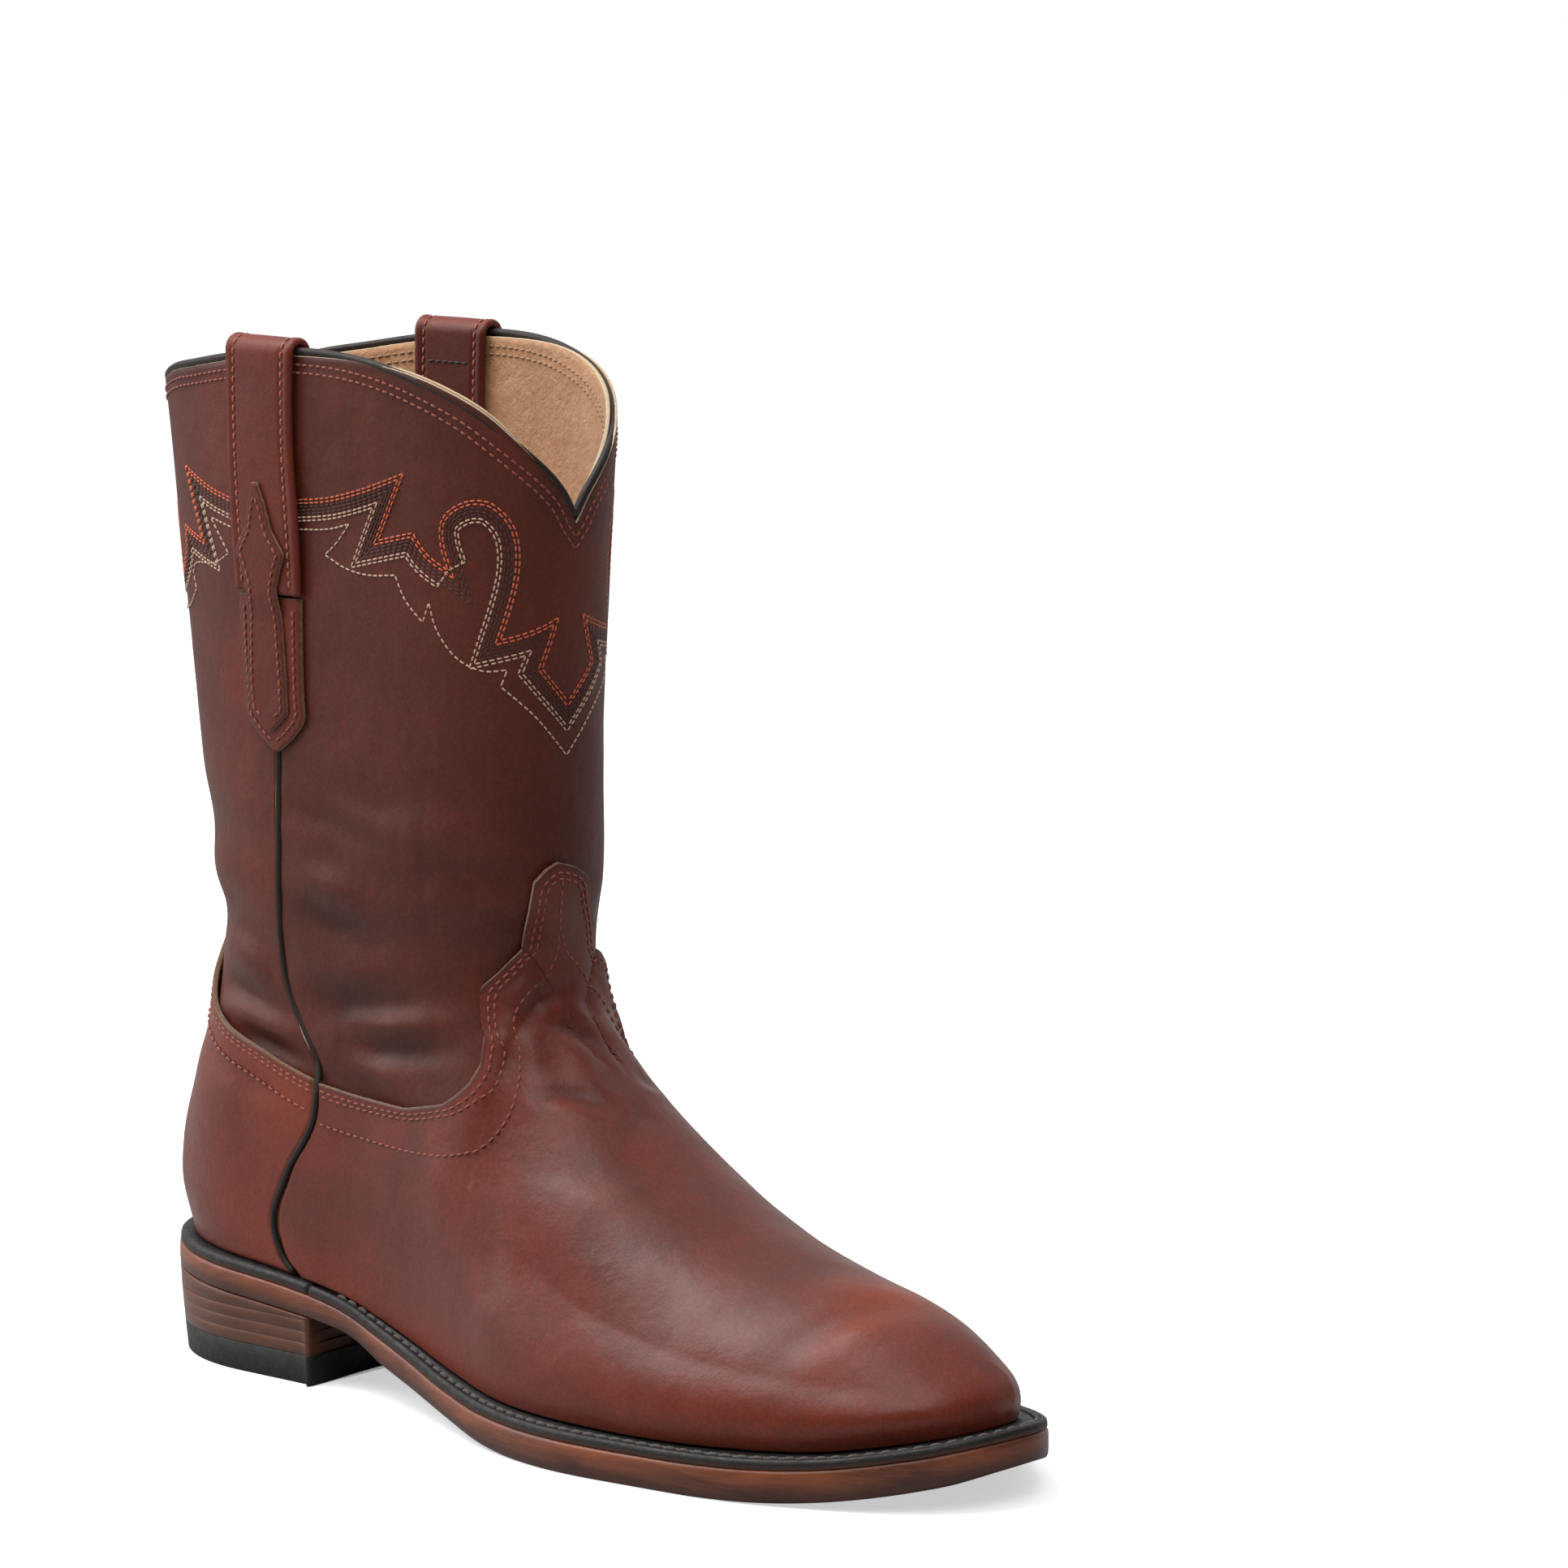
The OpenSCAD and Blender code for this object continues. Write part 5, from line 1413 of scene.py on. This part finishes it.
def build_patches(side):
    name = SIDE_NAME[side]
    patch_sheet("strap_tail_leather_" + name, "strap_tail_" + name, STRAP,
                TAIL, side, tail_lift, TAIL_T, 28, 90, 0)
    patch_sheet("strap_overlay_leather_" + name, "strap_overlay_" + name, LEG,
                OVERLAY, side, overlay_lift, OVERLAY_T, 24, 110, OVERLAY_SHIFT)
    on_tail, on_overlay = TAIL_T + ROW_LIFT, OVERLAY_T + ROW_LIFT
    rows = patch_rows(TAIL, side, lambda z: tail_lift(z) + on_tail, 2.4, 2.5, 0)
    rows += patch_rows(OVERLAY, side, lambda z: overlay_lift(z) + on_overlay, 2.0, 3.5, OVERLAY_SHIFT)
    stitch_rows("strap_patch_stitch_" + name, rows, THREAD_PINK, 0.28, 2.5, 0.75)


for is_side in (LATERAL, MEDIAL):
    build_strap(is_side)
    build_strap_stitches(is_side)
    build_patches(is_side)


# ---- sole, welt and heel ----
def sole_y(x, side):
    t = np.clip((x - SOLE_TOE_X) / (SOLE_TIP[0] - SOLE_TOE_X), 0, 1)
    y = SOLE_TIP[1] + (smooth(SOLE[side], x) - SOLE_TIP[1]) * root(t, SOLE_TOE_FULL[side])
    return y * root(np.clip((HEEL_CURVE_START - x) / (HEEL_CURVE_START - SOLE_BACK), 0, 1), HEEL_ROUND)


def full_outline():
    """The sole's edge in plan, evenly spaced, from the back round the outer side to the back again."""
    t = (1 - np.cos(np.linspace(0, math.pi, 4000))) / 2
    x = SOLE_BACK + (SOLE_TIP[0] - SOLE_BACK) * t
    outer = np.column_stack([x, sole_y(x, LATERAL)])
    inner = np.column_stack([x, sole_y(x, MEDIAL)])[::-1]
    return resample(np.concatenate([outer, inner[1:]]), count=721)[:-1]


def plan_normals(loop):
    """Outward directions along a closed outline in plan."""
    ahead = np.roll(loop, -1, 0) - np.roll(loop, 1, 0)
    return unit(np.column_stack([ahead[:, 1], -ahead[:, 0]]))


OUTLINE = full_outline()
OUTWARD = plan_normals(OUTLINE)


def slab(name, node, material, profile, low, high, loop=OUTLINE, outward=OUTWARD, rings=10):
    """A closed plate; profile is (inset, share of height) up its edge; low and high are heights by x."""
    x = np.clip(loop[:, 0], -10, 205)
    middle = np.column_stack([x, 0 * x + 3])
    shrink = np.linspace(0, 1, rings + 1)[1:] * 0.999
    steps = [(*profile[0], k) for k in shrink[::-1]]
    steps += [(inset, share, 0) for inset, share in profile]
    steps += [(*profile[-1], k) for k in shrink]
    sections = []
    for inset, share, k in steps:
        plan = mix(loop - outward * inset, middle, k)
        z = mix(low(plan[:, 0]), high(plan[:, 0]), share)
        sections.append(np.column_stack([plan, z]))
    m, n = len(steps), len(loop)
    faces = quads(m, n, wrap=True).tolist()
    faces += [list(range(n))[::-1], list(range((m - 1) * n, m * n))]
    levels = np.repeat([share for _, share, _ in steps], n)
    obj = new_object(name, np.concatenate(sections), faces, [material], floats={"level": levels})
    return place(obj, [node])


def level_at(z):
    """A height that is the same for every x."""
    return lambda x: z + 0 * x


def under_z(x):
    """Height of the outsole's underside."""
    return np.maximum(smooth(UNDERSIDE, x), 0)


def sole_top(x):
    """Height of the outsole's upper face."""
    return smooth(FEATHER, x) - SEAT_TO_SOLE


def build_outsole():
    profile = [(1.1, 0), (.45, .03), (.1, .12), (0, .3), (0, .7), (.1, .9), (.5, 1.0)]
    slab("outsole_leather", "outsole", SOLE_LEATHER, profile, under_z, sole_top)


# Across the welt and the rand from their foot: (inset from the sole's edge, height above the sole)
WELT_SHAPE = [(15.0, .15), (.5, .15), (.3, .5), (.35, 1.5), (.55, 2.25), (1.0, 2.75), (1.7, 2.92),
              (2.0, 2.75), (2.25, 2.3), (3.7, 2.3), (4.0, 2.75), (4.4, 2.95), (15.0, 2.95)]
RAND_SHAPE = [(13.0, .15), (.5, .15), (.3, .5), (.35, 1.7), (.6, 2.4), (1.2, 2.9), (2.2, 3.05),
              (13.0, 3.05)]
# Inset up to which the strips follow the sole's edge; further in they run to the foot's middle
EDGE_ZONE = 4.4


def strip(name, node, keep, shape):
    """The welt or the rand along the kept points of the outline."""
    loop, outward = OUTLINE[keep], OUTWARD[keep]
    to_middle = inward(np.column_stack([loop, 0 * loop[:, :1]]))[:, :2]
    sections = []
    for inset, up in shape:
        plan = loop - outward * min(inset, EDGE_ZONE) + to_middle * max(inset - EDGE_ZONE, 0)
        sections.append(np.column_stack([plan, sole_top(plan[:, 0]) + up]))
    sections = np.array(sections).transpose(1, 0, 2)
    sections[..., 2] += 0.05 * wobble(sections.reshape(-1, 3), 5, 8).reshape(sections.shape[:2])
    level = np.tile([up / 3 for _, up in shape], len(sections))
    place(tube(name, sections, WELT_BLACK, {"level": level}), [node])


def seat_order(limit):
    """Outline points behind the breast, in one run round the back from the inner side."""
    order = np.flatnonzero(limit)
    half = len(OUTLINE) // 2
    return np.concatenate([order[order > half], order[order <= half]])


def build_welt():
    ahead = OUTLINE[:, 0] > BREAST_X
    strip("welt_strip", "welt", np.flatnonzero(ahead), WELT_SHAPE)
    strip("rand_strip", "heel_rand", seat_order(~ahead), RAND_SHAPE)


def build_welt_stitch():
    keep = OUTLINE[:, 0] > BREAST_X + 8
    loop, outward = OUTLINE[keep], OUTWARD[keep]
    plan = loop - outward * 3.0
    path = np.column_stack([plan, sole_top(plan[:, 0]) + 2.42])
    normal = np.tile([0, 0, 1.0], (len(path), 1))
    row = resample(path, step=PATH_STEP, extra=normal)
    obj = stitch_rows("outseam_stitch", [row], THREAD_WELT, 0.62, 4.3, 0.84, slant=0.18)
    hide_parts("welt_stitch")


def heel_loop():
    """Outline of the heel: the seat's edge and a hollow breast."""
    edge = OUTLINE[seat_order(OUTLINE[:, 0] < BREAST_X)]
    a, b = edge[-1], edge[0]
    t = np.linspace(0, 1, 60)[1:-1, None]
    breast = a + (b - a) * t
    breast[:, 0] = BREAST_X - 1.5 * np.sin(np.pi * t[:, 0])
    return resample(np.concatenate([edge, breast, edge[:1]]), count=221)[:-1]


def build_heel():
    loop = heel_loop()
    outward = plan_normals(loop)
    front = ease(BREAST_X - 3, BREAST_X - 0.5, loop[:, 0])[:, None]
    outward = outward * (1 - 0.9 * front)

    def taper(z):
        """Inset of the heel's wall at height z: it leans in towards the floor."""
        return 0.3 + 1.7 * (1 - np.clip(z / 20, 0, 1)) ** 1.1

    def layer(name, node, slot, material, z0, z1, soft):
        low_inset, high_inset = taper(z0), taper(z1)
        profile = [(low_inset + soft, 0), (low_inset, soft / (z1 - z0)),
                   (high_inset, 1 - soft / (z1 - z0)), (high_inset + soft, 1)]
        slab(name, node, material, profile, level_at(z0), level_at(z1), loop, outward, 4)

    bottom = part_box("heel_cap")[1].z / MM
    layer("heel_cap_rubber", "heel_cap", "heel_rubber", HEEL_RUBBER, 0, bottom, 0.35)
    for i in (1, 2, 3):
        node = f"heel_lift_{i}"
        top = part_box(node)[1].z / MM
        layer(f"heel_lift_leather_{i}", node, "sole_leather", HEEL_STACK, bottom + 0.01, top, 0.02)
        bottom = top
    inset = taper(bottom)
    profile = [(inset + .12, 0), (inset, .03), (.15, .97), (.3, 1)]
    slab("heel_wedge_leather", "heel_wedge", HEEL_STACK, profile,
         level_at(bottom + 0.04), lambda x: under_z(x) - 0.04, loop, outward, 4)


build_outsole()
build_welt()
build_welt_stitch()
build_heel()

# ---- CAD nodes that stay ----
INSOLE = plain_leather("insole_leather", "c6a078", "b08a62")
STIFFENER = plain_leather("stiffener_leather", "b0926c", "97794f")
COVER = plain_leather("cover_leather", "7a4a30", "5e3524")
STEEL = metal("nail_steel", "8c8e92", 0.35)
BRASS = metal("nail_brass", "b9964a", 0.3)
CORK = cork_material()
for node, material in {
        "insole": INSOLE, "sock_lining": LINING, "vamp_lining": LINING, "toe_box": STIFFENER,
        "heel_counter": STIFFENER, "shank_cover": COVER, "shank": STEEL, "cap_nails": STEEL,
        "heel_nails": BRASS, "cork_filler": CORK}.items():
    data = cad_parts[node].data
    data.materials.clear()
    data.materials.append(material)


# ---- stage ----
AZIMUTH, ELEVATION = math.radians(41.128), math.radians(8.933)
TO_CAMERA = Vector((math.sin(AZIMUTH) * math.cos(ELEVATION), -math.cos(AZIMUTH) * math.cos(ELEVATION),
                    math.sin(ELEVATION)))
CAMERA_DISTANCE = 1781.4
CAMERA_AIM = Vector((172.5, 0, 179.0))
LENS = 156.7
BOOT_MIDDLE = Vector((0.09, 0.0, 0.12))
# The floor's glow where the camera sees it, how much light it throws back, and the room's light
FLOOR_HALF = 14.0
FLOOR_GLOW = 0.56
FLOOR_BOUNCE = 0.4
ROOM_DIM, ROOM_BRIGHT = 0.05, 0.7


def build_stage():
    mesh = bpy.data.meshes.new("floor")
    corners = [(-FLOOR_HALF, -FLOOR_HALF, 0), (FLOOR_HALF, -FLOOR_HALF, 0),
               (FLOOR_HALF, FLOOR_HALF, 0), (-FLOOR_HALF, FLOOR_HALF, 0)]
    mesh.from_pydata(corners, [], [(0, 1, 2, 3)])
    floor = bpy.data.objects.new("floor", mesh)
    bpy.context.scene.collection.objects.link(floor)
    n = Nodes("floor_paper")
    seen = n.node("ShaderNodeLightPath").outputs["Is Camera Ray"]
    paper = n.blend(seen, [FLOOR_BOUNCE] * 3 + [1.0], srgb("f6f6f6"))
    mesh.materials.append(n.finish(paper, 0.8, Specular_IOR_Level=0.1, Emission_Color=(1, 1, 1, 1),
                                   Emission_Strength=n.math("MULTIPLY", seen, FLOOR_GLOW)))


def area_light(name, location, size, power):
    """A rectangle of light turned to the middle of the boot; metres and watts."""
    data = bpy.data.lights.new(name, "AREA")
    data.shape = "RECTANGLE"
    data.size, data.size_y = size
    data.energy = power
    light = bpy.data.objects.new(name, data)
    bpy.context.scene.collection.objects.link(light)
    light.location = location
    light.rotation_euler = (BOOT_MIDDLE - Vector(location)).to_track_quat("-Z", "Y").to_euler()


def build_world():
    """White where the camera looks; a room that is dim in front of the boot and bright behind it."""
    world = bpy.data.worlds.new("studio")
    world.use_nodes = True
    tree = world.node_tree
    tree.nodes.clear()

    def add(kind, **settings):
        made = tree.nodes.new(kind)
        for key, value in settings.items():
            setattr(made, key, value)
        return made

    direction = add("ShaderNodeTexCoord").outputs["Generated"]
    facing = add("ShaderNodeVectorMath", operation="DOT_PRODUCT")
    tree.links.new(direction, facing.inputs[0])
    facing.inputs[1].default_value = -TO_CAMERA + Vector((-0.35, -0.25, 0.75))
    level = add("ShaderNodeMapRange", interpolation_type="SMOOTHSTEP")
    tree.links.new(facing.outputs["Value"], level.inputs["Value"])
    limits = {"From Min": -0.6, "From Max": 0.9, "To Min": ROOM_DIM, "To Max": ROOM_BRIGHT}
    for key, value in limits.items():
        level.inputs[key].default_value = value
    room, paper = add("ShaderNodeBackground"), add("ShaderNodeBackground")
    tree.links.new(level.outputs["Result"], room.inputs["Strength"])
    choice = add("ShaderNodeMixShader")
    tree.links.new(add("ShaderNodeLightPath").outputs["Is Camera Ray"], choice.inputs[0])
    tree.links.new(room.outputs[0], choice.inputs[1])
    tree.links.new(paper.outputs[0], choice.inputs[2])
    for background in (room, paper):
        background.inputs["Color"].default_value = (1, 1, 1, 1)
    tree.links.new(choice.outputs[0], add("ShaderNodeOutputWorld").inputs["Surface"])
    bpy.context.scene.world = world


def build_lights():
    area_light("top_box", (-0.40, -0.40, 1.35), (1.1, 1.1), 18)
    area_light("left_box", (-1.3, -0.7, 0.8), (0.8, 1.1), 7)
    area_light("front_box", (0.95, -0.7, 1.35), (0.9, 0.9), 7)


def build_camera():
    data = bpy.data.cameras.new("camera")
    data.sensor_width = 36
    data.lens = LENS
    data.clip_start = 0.1
    data.clip_end = 60
    camera = bpy.data.objects.new("camera", data)
    bpy.context.scene.collection.objects.link(camera)
    camera.location = (CAMERA_AIM + TO_CAMERA * CAMERA_DISTANCE) * MM
    camera.rotation_euler = (-TO_CAMERA).to_track_quat("-Z", "Y").to_euler()
    bpy.context.scene.camera = camera


build_stage()
build_world()
build_lights()
build_camera()
bpy.context.scene.view_settings.view_transform = "Standard"
